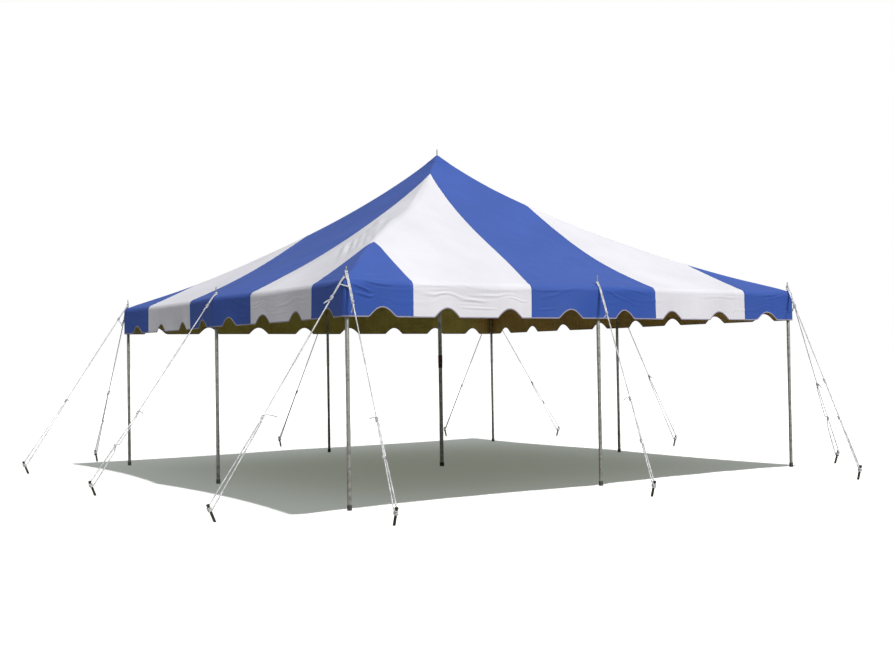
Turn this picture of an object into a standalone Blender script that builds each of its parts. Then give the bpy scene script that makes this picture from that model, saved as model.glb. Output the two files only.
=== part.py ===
"""Square pole tent with a striped canopy, a centre pole and guy ropes.

Metres, Z up. The origin is on the ground under the centre pole. The four sides
are named front (-Y), right (+X), back (+Y) and left (-X).
"""

import math

import bmesh
import bpy
from mathutils import Matrix, Vector

# Driving dimensions of the canopy
SIDE = 6.096                    # 20 ft between the corner poles
EAVE_HEIGHT = 2.134             # 7 ft to the top of the canopy at a side pole
PEAK_HEIGHT = 4.0
ROOF_DIP = 0.33                 # how much the stretched roof hangs below a straight slope
PEAK_DIP = 0.06                 # and how much more beside the peak
PEAK_REACH = 0.16               # share of the slope over which the peak's dip sets in
EAVE_DRAW = 0.10                # the eaves draw in this far between two poles
CLOTH = 0.004
CENTRE_STRIPE = 0.86            # half width of the middle stripe at the eave
WHITE_STRIPE = 2.32             # outer edge of the white stripe at the eave
SEAM_BOW = 0.07                 # the middle stripe's seams bow inwards this far on the roof
SEAM_BOW_PLACE = 1.6            # above 1 they bow most below their middle
VALANCE_DROP = 0.359            # from the eave to the hem
NOTCH_COUNT = 8                 # arched notches in the hem of one side
NOTCH_HALF_WIDTH = 0.155
NOTCH_HEIGHT = 0.095
NOTCH_ROUNDNESS = 1.15          # above 1 the notch has a broader top
SHOULDER_RADIUS = 0.05          # where the roof turns down into the valance
PEAK_PATCH = 0.11               # half width of the patch at the peak
STRAIGHT_HIP = "front_left"     # this corner's hip is stretched straight in its lower part
STRAIGHT_FROM = 0.8             # where that begins, from the middle
STRAIGHT_AT = 2.3               # and where the hip has come straight

# Driving dimensions of the poles
SIDE_POLE_RADIUS = 0.019
CENTRE_POLE_RADIUS = 0.0245
PIN_RADIUS = 0.006
CENTRE_PIN_RADIUS = 0.007
SIDE_PIN_TIP = 2.24
CENTRE_PIN_TIP = 4.075
PIN_POINT = 0.02
POLE_JOINT = 1.34               # height of the joint in the centre pole
SLEEVE_LENGTH = 0.16
SLEEVE_WALL = 0.003
CAP_HEIGHT = 0.05
CAP_WALL = 0.0042
CAP_FLOOR = 0.006
POLE_CHAMFER = 0.003
CORNER_SPREAD = 1.12            # the roof falls away sooner round a corner pole

# Driving dimensions of the guy ropes and stakes
ROPE_RADIUS = 0.0063
KNOT_LENGTH = 0.05
LEG_SPACING = 0.015             # between the two legs of a rope below its knot
STAKE_RADIUS = 0.0125
STAKE_LENGTH = 0.17             # what stands out of the ground
STAKE_LEAN = math.radians(22)
LOOP_PLACE = 0.125              # along the stake to the rope's loop
HEAD_LENGTH = 0.012
HEAD_RADIUS = 0.0165

GAP = 0.0003                    # between pieces that touch
HALF = SIDE / 2
HEM = EAVE_HEIGHT - VALANCE_DROP
ROLL_START = HALF + 0.02
PIN_HOLE = PIN_RADIUS + 0.003
PEAK_HOLE = CENTRE_PIN_RADIUS + 0.004
ROOF_ROWS = 12
TIP_INSET = 0.008               # a stripe's tip is cut off this far below its neighbours' seam
ROLL_STEPS = 4
ROUND_SIDES = 12
STAKE_SIDES = 10

# Quarter turns from the front side to each side
TURNS = {"front": 0, "right": 1, "back": 2, "left": 3}
CORNERS = {
    "front_left": (-1, -1),
    "front_right": (1, -1),
    "back_right": (1, 1),
    "back_left": (-1, 1),
}
# Where the tip of the middle stripes and the tip of the blue corner lie on each hip,
# from the middle of the tent
STRIPE_TIPS = {
    "front_left": (0.32, 2.32),
    "front_right": (0.77, 2.18),
    "back_right": (0.32, 2.32),
    "back_left": (1.20, 2.32),
}
MIDDLES = {
    "front_middle": (0, -1),
    "right_middle": (1, 0),
    "back_middle": (0, 1),
    "left_middle": (-1, 0),
}

# The guy ropes of each pole: the side each leaves over, the place of its stake,
# and the share of its length from the eave to its knot
ROPES = {
    "front_left": [("left", (-4.31, -2.94), 0.60), ("front", (-3.23, -4.13), 0.62)],
    "front_middle": [("front", (-0.27, -4.09), 0.60)],
    "front_right": [("front", (2.43, -4.45), 0.50), ("right", (3.78, -3.12), 0.58)],
    "right_middle": [("right", (4.38, 0.25), 0.50)],
    "back_right": [("right", (4.62, 3.32), 0.58), ("back", (3.20, 4.66), 0.60)],
    "back_middle": [("back", (-0.03, 4.64), 0.60)],
    "back_left": [("back", (-3.20, 3.98), 0.52), ("left", (-4.43, 2.83), 0.60)],
    "left_middle": [("left", (-4.51, -0.22), 0.62)],
}

# Base colour, roughness and metallic value of each finish
FINISHES = {
    "blue_vinyl": ((0.078, 0.138, 0.479), 0.45, 0.0),
    "white_vinyl": ((0.86, 0.84, 0.88), 0.45, 0.0),
    "pole_steel": ((0.16, 0.17, 0.16), 0.45, 0.8),
    "cap_rubber": ((0.02, 0.02, 0.02), 0.8, 0.0),
    "rope": ((0.80, 0.80, 0.84), 0.9, 0.0),
    "stake_steel": ((0.12, 0.12, 0.11), 0.6, 0.7),
}


def material(finish):
    """The material of a finish, made the first time it is asked for."""
    found = bpy.data.materials.get(finish)
    if found:
        return found
    colour, roughness, metallic = FINISHES[finish]
    made = bpy.data.materials.new(finish)
    made.use_nodes = True
    shader = made.node_tree.nodes["Principled BSDF"]
    shader.inputs["Base Color"].default_value = (*colour, 1.0)
    shader.inputs["Roughness"].default_value = roughness
    shader.inputs["Metallic"].default_value = metallic
    made.diffuse_color = (*colour, 1.0)
    return made


def add_mesh(name, bm, finish, x=0.0, y=0.0):
    """Put a bmesh in the scene as one named object at a place on the ground."""
    bmesh.ops.recalc_face_normals(bm, faces=bm.faces)
    mesh = bpy.data.meshes.new(name)
    bm.to_mesh(mesh)
    bm.free()
    item = bpy.data.objects.new(name, mesh)
    item.location = (x, y, 0.0)
    bpy.context.collection.objects.link(item)
    mesh.materials.append(material(finish))
    return item


def side_turn(side):
    """The turn that carries points of the front side to another side."""
    return Matrix.Rotation(TURNS[side] * math.pi / 2, 4, "Z")


def pole_places():
    """Plan position of each side pole."""
    corners_and_middles = {**CORNERS, **MIDDLES}
    return {name: (x * HALF, y * HALF) for name, (x, y) in corners_and_middles.items()}


# The canopy


def roof_height(reach):
    """Height of the roof at a distance from the centre, square to a side."""
    if reach < PEAK_PATCH:
        return PEAK_HEIGHT + (roof_height(PEAK_PATCH) - PEAK_HEIGHT) * reach / PEAK_PATCH
    part = reach / HALF
    dip = ROOF_DIP * part + PEAK_DIP * (1 - math.exp(-part / PEAK_REACH))
    return EAVE_HEIGHT + (PEAK_HEIGHT - EAVE_HEIGHT) * (1 - part) * (1 - dip)


def draw_in(x, reach):
    """How far a point along a side is drawn in between the poles."""
    part = min(abs(x) / reach, 1.0)
    near_eave = min(reach / HALF, 1.0) ** 4
    return EAVE_DRAW * 4 * part * (1 - part) * near_eave


def hip_rise(reach):
    """How far the straight hip stands above the dipping roof."""
    if reach >= HALF:
        return 0.0
    straight = PEAK_HEIGHT + (EAVE_HEIGHT - PEAK_HEIGHT) * reach / HALF
    along = min(max((reach - STRAIGHT_FROM) / (STRAIGHT_AT - STRAIGHT_FROM), 0.0), 1.0)
    return (straight - roof_height(reach)) * along * along * (3 - 2 * along)


def shoulder_centre():
    """Centre of the shoulder's curve, as reach and height, and the slope it starts at."""
    step = 0.001
    fall = roof_height(ROLL_START - step) - roof_height(ROLL_START + step)
    slope = math.atan(fall / (2 * step))
    reach = ROLL_START - SHOULDER_RADIUS * math.sin(slope)
    height = roof_height(ROLL_START) - SHOULDER_RADIUS * math.cos(slope)
    return reach, height, slope


def canopy_rows(start):
    """Rows from a reach to the valance: outer and inner (reach, height) of each.

    Every piece has the same rows below its first, so that their seams agree.
    """
    step = (HALF - PEAK_HOLE) / ROOF_ROWS
    reaches = [PEAK_HOLE + step * i for i in range(ROOF_ROWS + 1)]
    kinks = {PEAK_PATCH, *(tip for tips in STRIPE_TIPS.values() for tip in tips)}
    kept = [r for r in reaches if all(abs(r - kink) > step / 3 for kink in kinks)]
    rows = []
    for reach in [start] + [r for r in sorted([*kept, *kinks]) if r > start + TIP_INSET]:
        height = roof_height(reach)
        rows.append(((reach, height), (reach, height - CLOTH)))
    centre, level, slope = shoulder_centre()
    for i in range(ROLL_STEPS + 1):
        angle = slope + (math.pi / 2 - slope) * i / ROLL_STEPS
        pair = []
        for radius in (SHOULDER_RADIUS, SHOULDER_RADIUS - CLOTH):
            pair.append((centre + radius * math.sin(angle), level + radius * math.cos(angle)))
        rows.append(tuple(pair))
    return rows


def stripe_seam(reach, tip):
    """Half width of the middle stripe at a reach, from its tip on the hip to the eave."""
    if reach < tip:
        return reach
    along = min((reach - tip) / (HALF - tip), 1.0)
    bow = SEAM_BOW * math.sin(math.pi * along ** SEAM_BOW_PLACE)
    return tip + (CENTRE_STRIPE - tip) * along - bow


def corner_seam(reach, tip):
    """Distance of the blue corner's seam from the middle of a side, from its tip to the eave."""
    along = min(max((reach - tip) / (HALF - tip), 0.0), 1.0)
    return tip + (WHITE_STRIPE - tip) * along


def notch_rise(offset):
    """How far the hem rises at a distance from the middle of a notch."""
    part = abs(offset) / NOTCH_HALF_WIDTH
    return NOTCH_HEIGHT * 0.5 * (1 + math.cos(math.pi * min(part, 1) ** NOTCH_ROUNDNESS))


def hem_points(low, high):
    """Points of the hem's notches between two places along a side."""
    pitch = SIDE / NOTCH_COUNT
    steps = (-1, -0.86, -0.68, -0.5, -0.33, 0, 0.33, 0.5, 0.68, 0.86, 1)
    points = []
    for i in range(NOTCH_COUNT):
        middle = (i + 0.5) * pitch - HALF
        if low < middle < high:
            for step in steps:
                offset = step * NOTCH_HALF_WIDTH
                points.append((middle + offset, HEM + notch_rise(offset)))
    return points


class Cloth:
    """A piece of canopy: named points with an outer and an inner place, and faces.

    rise gives how far the hip lifts a point, from its place along a side and its reach.
    """

    def __init__(self, rise=None):
        self.bm = bmesh.new()
        self.rise = rise
        self.outer = {}
        self.inner = {}
        self.faces = []

    def place(self, key, outer, inner):
        if key not in self.outer:
            self.outer[key] = self.bm.verts.new(outer)
            self.inner[key] = self.bm.verts.new(inner)
        return key

    def add_strip(self, keys):
        """Add a four-sided face, cut along a diagonal that both of its sides share."""
        a, b, c, d = keys
        self.faces += [[a, b, c], [a, c, d]]

    def close(self):
        """Make both faces of the cloth and the rim that joins them."""
        edges = set()
        for keys in self.faces:
            self.bm.faces.new([self.outer[key] for key in keys])
            self.bm.faces.new([self.inner[key] for key in reversed(keys)])
            edges.update(zip(keys, keys[1:] + keys[:1]))
        for start, end in edges:
            if (end, start) not in edges:
                self.bm.faces.new((self.outer[end], self.outer[start],
                                   self.inner[start], self.inner[end]))
        return self.bm


def add_wing(cloth, side, rows, low, high, fold, fold_reach=math.inf):
    """Add one of the two wings of a piece, which lies on one side of the tent.

    low and high give its two edges at each reach. Edge number fold, 0 or 1, is shared
    with the other wing, up to fold_reach.
    """
    turn = side_turn(side)
    edges = (low, high)

    def key_at(i, k, pair):
        shared = k == fold and pair[0][0] <= fold_reach
        key = ("fold", i) if shared else (side, fold, k, i)
        ends = []
        for reach, height in pair:
            x = edges[k](reach)
            if cloth.rise:
                height += cloth.rise(x, reach)
            ends.append(turn @ Vector((x, draw_in(x, reach) - reach, height)))
        return cloth.place(key, *ends)

    keys = [(key_at(i, 0, pair), key_at(i, 1, pair)) for i, pair in enumerate(rows)]
    for (a, b), (d, c) in zip(keys, keys[1:]):
        cloth.add_strip([a, d, c, b])

    outer_reach = rows[-1][0][0]
    inner_reach = rows[-1][1][0]
    first = key_at("hem", 0, ((outer_reach, HEM), (inner_reach, HEM)))
    last = key_at("hem", 1, ((outer_reach, HEM), (inner_reach, HEM)))
    hem = [first]
    start = low(inner_reach)
    end = high(inner_reach)
    for x, z in hem_points(start, end):
        share = (x - start) / (end - start)
        places = []
        for reach in (outer_reach, inner_reach):
            inward = draw_in(start, reach) * (1 - share) + draw_in(end, reach) * share
            places.append(turn @ Vector((x, inward - reach, z)))
        hem.append(cloth.place((side, "notch", x), *places))
    hem.append(last)
    cloth.faces.append([keys[-1][0], *hem, keys[-1][1]])


def middle_stripe(side, left_tip, right_tip):
    """The blue stripe in the middle of a side, from the peak to its hem."""
    def edge(reach, tip):
        inset = GAP / math.sqrt(2) if reach <= tip else GAP / 2
        return stripe_seam(reach, tip) - inset

    cloth = Cloth()
    rows = canopy_rows(PEAK_HOLE)
    add_wing(cloth, side, rows, lambda r: -edge(r, left_tip), lambda r: 0.0, 1)
    add_wing(cloth, side, rows, lambda r: 0.0, lambda r: edge(r, right_tip), 0)
    return cloth.close()


def hip_lift(corner):
    """The rise of a corner's pieces towards its hip, or nothing where the hip dips."""
    if corner != STRAIGHT_HIP:
        return None
    tip = STRIPE_TIPS[corner][0]

    def rise(x, reach):
        seam = stripe_seam(reach, tip) + GAP / 2
        share = max(abs(x) - seam, 0.0) / (reach - seam)
        return hip_rise(reach) * share

    return rise


def white_stripe(corner, before, after):
    """The white stripe that crosses a hip, with a leg down each of the two sides."""
    tip, corner_tip = STRIPE_TIPS[corner]

    def outer(reach):
        return reach if reach <= corner_tip else corner_seam(reach, corner_tip) - GAP / 2

    def inner(reach):
        return stripe_seam(reach, tip) + GAP / 2

    cloth = Cloth(hip_lift(corner))
    rows = canopy_rows(tip + TIP_INSET)
    add_wing(cloth, before, rows, inner, outer, 1, corner_tip)
    add_wing(cloth, after, rows, lambda r: -outer(r), lambda r: -inner(r), 0, corner_tip)
    return cloth.close()


def corner_piece(corner, before, after):
    """The blue piece that folds over a hip at a corner of the tent."""
    tip = STRIPE_TIPS[corner][1]

    def seam(reach):
        return corner_seam(reach, tip) + GAP / 2

    cloth = Cloth(hip_lift(corner))
    rows = canopy_rows(tip + TIP_INSET)
    add_wing(cloth, before, rows, seam, lambda r: r, 1)
    add_wing(cloth, after, rows, lambda r: -r, lambda r: -seam(r), 0)
    return cloth.close()


def peak_patch():
    """A square patch that binds the tips of the stripes at the pin."""
    bm = bmesh.new()
    sections = []
    for sx, sy in ((-1, -1), (1, -1), (1, 1), (-1, 1)):
        inner = roof_height(PEAK_HOLE) + GAP
        outer = roof_height(PEAK_PATCH) + GAP
        profile = [
            (PEAK_HOLE, inner),
            (PEAK_PATCH, outer),
            (PEAK_PATCH, outer + CLOTH),
            (PEAK_HOLE, inner + CLOTH),
        ]
        sections.append([bm.verts.new((sx * r, sy * r, z)) for r, z in profile])
    bridge_rings(bm, sections, closed=True)
    return bm


def cut_pin_hole(item, name, x, y):
    """Cut the hole that a side pole's pin comes through."""
    bm = bmesh.new()
    bmesh.ops.create_cone(
        bm, cap_ends=True, segments=ROUND_SIDES, radius1=PIN_HOLE, radius2=PIN_HOLE,
        depth=0.08, matrix=Matrix.Translation((0, 0, EAVE_HEIGHT)))
    cutter = add_mesh("cut_" + name, bm, "pole_steel", x, y)
    cutter.hide_render = True
    cutter.display_type = "WIRE"
    change = item.modifiers.new("pin_hole", "BOOLEAN")
    change.operation = "DIFFERENCE"
    change.solver = "EXACT"
    change.object = cutter


def build_canopy():
    """Stripes of the roof with their valances, and the patch at the peak."""
    places = pole_places()
    sides = list(TURNS)
    for i, corner in enumerate(CORNERS):
        before = sides[i - 1]
        side = sides[i]
        next_corner = list(CORNERS)[(i + 1) % 4]
        bm = middle_stripe(side, STRIPE_TIPS[corner][0], STRIPE_TIPS[next_corner][0])
        stripe = add_mesh(f"canopy_{side}_blue", bm, "blue_vinyl")
        middle = side + "_middle"
        cut_pin_hole(stripe, middle, *places[middle])
        add_mesh(f"canopy_{corner}_white", white_stripe(corner, before, side), "white_vinyl")
        bm = corner_piece(corner, before, side)
        piece = add_mesh(f"canopy_{corner}_blue", bm, "blue_vinyl")
        cut_pin_hole(piece, corner, *places[corner])
    add_mesh("canopy_peak_patch", peak_patch(), "blue_vinyl")


# The poles


def bridge_rings(bm, rings, closed=False):
    """Join rings of equal length into a tube, and close it up or cap its ends."""
    count = len(rings[0])
    following = rings[1:] + rings[:1] if closed else rings[1:]
    for lower, upper in zip(rings, following):
        for i in range(count):
            j = (i + 1) % count
            bm.faces.new((lower[i], lower[j], upper[j], upper[i]))
    if not closed:
        bm.faces.new(rings[0][::-1])
        bm.faces.new(rings[-1])


def turned(profile, closed=False):
    """A round piece on a vertical axis, from its profile of (radius, height)."""
    bm = bmesh.new()
    rings = []
    for radius, height in profile:
        ring = []
        for i in range(ROUND_SIDES):
            angle = 2 * math.pi * i / ROUND_SIDES
            place = (radius * math.cos(angle), radius * math.sin(angle), height)
            ring.append(bm.verts.new(place))
        rings.append(ring)
    bridge_rings(bm, rings, closed)
    return bm


def pole_top(centre, radius):
    """Height of the flat top of a pole that carries the roof at a reach."""
    outer = centre + radius
    clear = min(roof_height(outer - POLE_CHAMFER), roof_height(outer) + POLE_CHAMFER)
    return clear - CLOTH - GAP


def pole_with_pin(radius, foot, top, pin_radius, tip):
    """A steel tube with a pin standing out of its top."""
    return turned([
        (radius, foot),
        (radius, top - POLE_CHAMFER),
        (radius - POLE_CHAMFER, top),
        (pin_radius, top),
        (pin_radius, tip - PIN_POINT),
        (pin_radius / 2, tip),
    ])


def foot_cap(tube_radius):
    """A cup over the lower end of a tube."""
    inside = tube_radius + GAP
    outside = inside + CAP_WALL
    return turned([
        (inside, CAP_FLOOR),
        (inside, CAP_HEIGHT),
        (outside, CAP_HEIGHT),
        (outside, 0.0),
    ])


def sleeve():
    """The tube that joins the two lengths of the centre pole."""
    inside = CENTRE_POLE_RADIUS + GAP
    outside = inside + SLEEVE_WALL
    low = POLE_JOINT - SLEEVE_LENGTH / 2
    high = POLE_JOINT + SLEEVE_LENGTH / 2
    return turned([(inside, low), (inside, high), (outside, high), (outside, low)], closed=True)


def build_poles():
    """Side poles, the centre pole with its joint, and the caps on their feet."""
    foot = CAP_FLOOR + GAP
    for name, (x, y) in pole_places().items():
        spread = CORNER_SPREAD if name in CORNERS else 1.0
        top = pole_top(HALF, SIDE_POLE_RADIUS * spread)
        bm = pole_with_pin(SIDE_POLE_RADIUS, foot, top, PIN_RADIUS, SIDE_PIN_TIP)
        add_mesh("pole_" + name, bm, "pole_steel", x, y)
        add_mesh("foot_" + name, foot_cap(SIDE_POLE_RADIUS), "cap_rubber", x, y)

    lower = turned([(CENTRE_POLE_RADIUS, foot), (CENTRE_POLE_RADIUS, POLE_JOINT - GAP / 2)])
    add_mesh("centre_pole_lower", lower, "pole_steel")
    top = pole_top(0.0, CENTRE_POLE_RADIUS)
    upper = pole_with_pin(CENTRE_POLE_RADIUS, POLE_JOINT + GAP / 2, top,
                          CENTRE_PIN_RADIUS, CENTRE_PIN_TIP)
    add_mesh("centre_pole_upper", upper, "pole_steel")
    add_mesh("centre_pole_sleeve", sleeve(), "pole_steel")
    add_mesh("foot_centre", foot_cap(CENTRE_POLE_RADIUS), "cap_rubber")


# The guy ropes and stakes


def stake_axis(pole, stake):
    """Foot of a stake and the direction it leans in, away from its pole."""
    foot = Vector((*stake, 0))
    away = (foot - Vector((*pole, 0))).normalized()
    return foot, away * math.sin(STAKE_LEAN) + Vector((0, 0, math.cos(STAKE_LEAN)))


def stake_bar(foot, axis):
    """A leaning steel bar with a spread head, cut flat at the ground."""
    bm = bmesh.new()
    level = Vector((0, 0, 1)).cross(axis).normalized()
    across = axis.cross(level)
    sections = [
        (0.0, STAKE_RADIUS),
        (STAKE_LENGTH - 2 * HEAD_LENGTH, STAKE_RADIUS),
        (STAKE_LENGTH - HEAD_LENGTH, HEAD_RADIUS),
        (STAKE_LENGTH, HEAD_RADIUS * 0.85),
    ]
    rings = []
    for along, radius in sections:
        ring = []
        for i in range(STAKE_SIDES):
            angle = 2 * math.pi * i / STAKE_SIDES
            around = level * math.cos(angle) + across * math.sin(angle)
            place = foot + axis * along + around * radius
            if along == 0.0:
                place -= axis * (place.z / axis.z)
                place.z = 0.0
            ring.append(bm.verts.new(place))
        rings.append(ring)
    bridge_rings(bm, rings)
    return bm


def rope_down(start, side, stake, pole, knot_share):
    """A rope from its turn round the pin down to its stake and back to its knot.

    Gives the points of its centre line and the rope's swelling at each.
    """
    turn = side_turn(side)
    back = turn.inverted()
    foot, axis = stake_axis(pole, stake)
    loop = foot + axis * LOOP_PLACE
    here = back @ start
    there = back @ loop

    reach, height, _ = shoulder_centre()
    clear = SHOULDER_RADIUS + ROPE_RADIUS + 2 * GAP
    out = -there.y - reach
    drop = height - there.z
    leave = math.pi / 2 + math.atan2(drop, out) - math.acos(clear / math.hypot(out, drop))
    begin = math.radians(38)
    steps = 3
    points = []
    for i in range(steps + 1):
        angle = begin + (leave - begin) * i / steps
        r = reach + clear * math.sin(angle)
        share = (r + here.y) / (here.y - there.y)
        x = here.x + (there.x - here.x) * share
        points.append(turn @ Vector((x, -r, height + clear * math.cos(angle))))

    upward = (points[-1] - loop).normalized()
    aside = upward.cross(axis).normalized()
    knot = points[-1].lerp(loop, knot_share)
    half = upward * (KNOT_LENGTH / 2)
    leg = aside * (LEG_SPACING / 2)
    points += [knot + half, knot + half * 0.6, knot, knot - half * 0.6, knot - half + leg]
    swell = [1.0] * (len(points) - 5) + [1.0, 1.9, 2.2, 1.8, 1.0]

    clear = STAKE_RADIUS + ROPE_RADIUS + 2 * GAP
    beyond = clear / upward.cross(axis).length
    turns = 8
    for i in range(turns + 1):
        angle = math.pi * i / turns
        around = aside * (clear * math.cos(angle)) - upward * (beyond * math.sin(angle))
        points.append(loop + around)
    points.append(knot - half * 1.3 - leg)
    swell += [1.0] * (turns + 2)
    return points, swell


def rope_wrap(pole, start_angle, sweep, low, high):
    """Turns of rope round a pin, from one angle on through a sweep, rising."""
    radius = PIN_RADIUS + ROPE_RADIUS + 2 * GAP
    steps = round(abs(sweep) / (2 * math.pi) * ROUND_SIDES)
    points = []
    for i in range(steps + 1):
        angle = start_angle + sweep * i / steps
        height = low + (high - low) * i / steps
        points.append(Vector((pole[0] + radius * math.cos(angle),
                              pole[1] + radius * math.sin(angle), height)))
    return points


def guy_rope(name, pole, ropes):
    """Centre line and swelling of the rope or pair of ropes tied to one pole's pin."""
    beside = HALF - PIN_RADIUS - 2 * ROPE_RADIUS
    low = roof_height(beside) + ROPE_RADIUS + 3 * GAP
    if name == STRAIGHT_HIP:
        low += hip_rise(beside)
    rise = 2 * ROPE_RADIUS + 2 * GAP
    angles = []
    for _, stake, _ in ropes:
        angles.append(math.atan2(stake[1] - pole[1], stake[0] - pole[0]))
    quarter = math.pi / 2
    if len(ropes) == 1:
        sweep = -(1.5 * math.pi + 2 * math.pi)
        start = angles[0] + quarter - sweep
        wrap = rope_wrap(pole, start, sweep, low, low - rise * sweep / (2 * math.pi))
        points, swell = rope_down(wrap[-1], ropes[0][0], ropes[0][1], pole, ropes[0][2])
        return wrap + points, [1.0] * len(wrap) + swell

    start = angles[0] - quarter
    end = angles[1] + quarter
    sweep = -((start - end) % (2 * math.pi)) - 2 * math.pi
    wrap = rope_wrap(pole, start, sweep, low, low - rise * sweep / (2 * math.pi))
    first, first_swell = rope_down(wrap[0], ropes[0][0], ropes[0][1], pole, ropes[0][2])
    second, second_swell = rope_down(wrap[-1], ropes[1][0], ropes[1][1], pole, ropes[1][2])
    points = first[::-1] + wrap + second
    return points, first_swell[::-1] + [1.0] * len(wrap) + second_swell


def add_rope(name, points, swell):
    """Put a rope in the scene as a round curve through its points."""
    curve = bpy.data.curves.new(name, "CURVE")
    curve.dimensions = "3D"
    curve.bevel_depth = ROPE_RADIUS
    curve.bevel_resolution = 1
    curve.use_fill_caps = True
    spline = curve.splines.new("POLY")
    spline.points.add(len(points) - 1)
    for place, point, radius in zip(spline.points, points, swell):
        place.co = (*point, 1.0)
        place.radius = radius
    curve.materials.append(material("rope"))
    item = bpy.data.objects.new(name, curve)
    bpy.context.collection.objects.link(item)


def build_ropes():
    """A guy rope for each pole, and the stakes that hold them."""
    places = pole_places()
    for pole, ropes in ROPES.items():
        add_rope("guy_rope_" + pole, *guy_rope(pole, places[pole], ropes))
        for number, (_, stake, _) in enumerate(ropes, 1):
            name = f"stake_{pole}_{number}" if len(ropes) > 1 else f"stake_{pole}"
            add_mesh(name, stake_bar(*stake_axis(places[pole], stake)), "stake_steel")


def main():
    for item in list(bpy.data.objects):
        bpy.data.objects.remove(item)
    build_canopy()
    build_poles()
    build_ropes()


main()
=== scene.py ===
"""Looks of a square pole tent, laid out as a Blender add-on.

Metres, Z up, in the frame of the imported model. The ground is z = 0 under the centre
pole, and the four sides are named front (-Y), right (+X), back (+Y) and left (-X).
"""

import math
import random

import bmesh
import bpy
import numpy as np
from bpy.props import FloatProperty, FloatVectorProperty, IntProperty, PointerProperty
from mathutils import Matrix, Vector


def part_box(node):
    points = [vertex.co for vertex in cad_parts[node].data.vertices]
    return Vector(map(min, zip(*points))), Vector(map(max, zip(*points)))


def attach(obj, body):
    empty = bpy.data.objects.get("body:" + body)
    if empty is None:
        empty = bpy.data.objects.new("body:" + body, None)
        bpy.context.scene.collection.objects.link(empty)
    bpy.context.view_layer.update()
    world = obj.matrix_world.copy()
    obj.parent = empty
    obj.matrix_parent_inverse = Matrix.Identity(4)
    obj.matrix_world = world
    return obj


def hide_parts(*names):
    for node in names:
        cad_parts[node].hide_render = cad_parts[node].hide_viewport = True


bl_info = {
    "name": "Square pole tent",
    "version": (1, 0, 0),
    "blender": (4, 5, 0),
    "location": "3D View > Sidebar > Tent",
    "description": "Canopy, poles, guy ropes and stakes of a square pole tent",
    "category": "Object",
}

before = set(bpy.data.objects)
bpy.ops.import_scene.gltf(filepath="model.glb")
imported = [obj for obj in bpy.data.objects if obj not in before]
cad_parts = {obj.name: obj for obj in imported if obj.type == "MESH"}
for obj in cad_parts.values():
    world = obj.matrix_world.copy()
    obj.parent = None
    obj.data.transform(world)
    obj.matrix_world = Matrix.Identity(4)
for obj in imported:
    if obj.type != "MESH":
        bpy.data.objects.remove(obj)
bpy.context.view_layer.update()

# Shape of the canopy, as in its solids. A reach is a distance from the centre pole,
# square to a side of the tent.
HALF = 3.048                    # reach of the eave
EAVE_HEIGHT = 2.134
PEAK_HEIGHT = 4.0
ROOF_DIP = 0.33                 # share of its rise by which the roof dips, at the eave
PEAK_DIP = 0.06                 # and the share it dips by at once below the peak,
PEAK_REACH = 0.16               # within about this share of the reach
EAVE_DRAW = 0.10                # the eave is drawn in by this much between two poles
CENTRE_STRIPE = 0.86            # half width of a middle stripe at the eave
WHITE_STRIPE = 2.32             # where white gives way to the blue corner there
SEAM_BOW = 0.07                 # how far a middle stripe's seams bow inwards
SEAM_BOW_PLACE = 1.6            # above 1, they bow most in their lower half
HEM = EAVE_HEIGHT - 0.359
NOTCH_PITCH = 2 * HALF / 8
PEAK_PATCH = 0.11               # reach of the patch at the peak
PEAK_HOLE = 0.0095              # and of the hole for the pin
STRAIGHT_FROM = 0.8             # the near hip leaves the dip at this reach
STRAIGHT_AT = 2.3               # and is stretched straight from this one on

# Where the cloth is rounder than its solids
NOTCH_HALF_WIDTH = 0.152
NOTCH_HEIGHT = 0.092
SHOULDER_RADIUS = 0.07          # it turns down into the valance on this radius
ROLL_START = HALF + 0.0075      # from this reach on
CORNER_ROUND = 0.055            # radius on which the valance turns a corner
HIP_ROUND = 0.09                # width over which a hip of the roof is rounded off

# Poles and stakes, as in their solids
POLE_RADIUS = 0.019
CENTRE_POLE_RADIUS = 0.0245
PIN_RADIUS = 0.006
CENTRE_PIN_RADIUS = 0.007
CAP_HEIGHT = 0.05
STAKE_RADIUS = 0.0125
STAKE_LEAN = math.radians(22)
LOOP_PLACE = 0.125              # where a rope's loop lies along its stake
KNOT_WRAP = 2.05                # radius of a rope's turns round itself, in its own radius
KNOT_PITCH = 2.02               # and the step from turn to turn

# Seams, stains and painted light of the canopy
LAP = 0.012                     # a blue stripe laps this far over the white
LAP_RISE = 0.0016               # and stands this far above it
LIGHT_THROUGH_SPAN = (2.5, 3.0)            # light through the cloth is painted on the underside, as a warmer colour, between these places on X
# Columns of the mesh by each kind of edge, as distances from it
EDGE_STEPS = {"lap": (0.011, 0.013), "seam": (0.008,), "hip": (0.012, 0.025, 0.039, 0.055)}

SIDES = ("front", "right", "back", "left")
CORNERS = ("front_left", "front_right", "back_right", "back_left")
# Where the tip of the middle stripes and the tip of the blue corner lie on each hip
TIPS = {"front_left": (0.32, 2.32), "front_right": (0.77, 2.18),
        "back_right": (0.32, 2.32), "back_left": (1.20, 2.32)}

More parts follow.
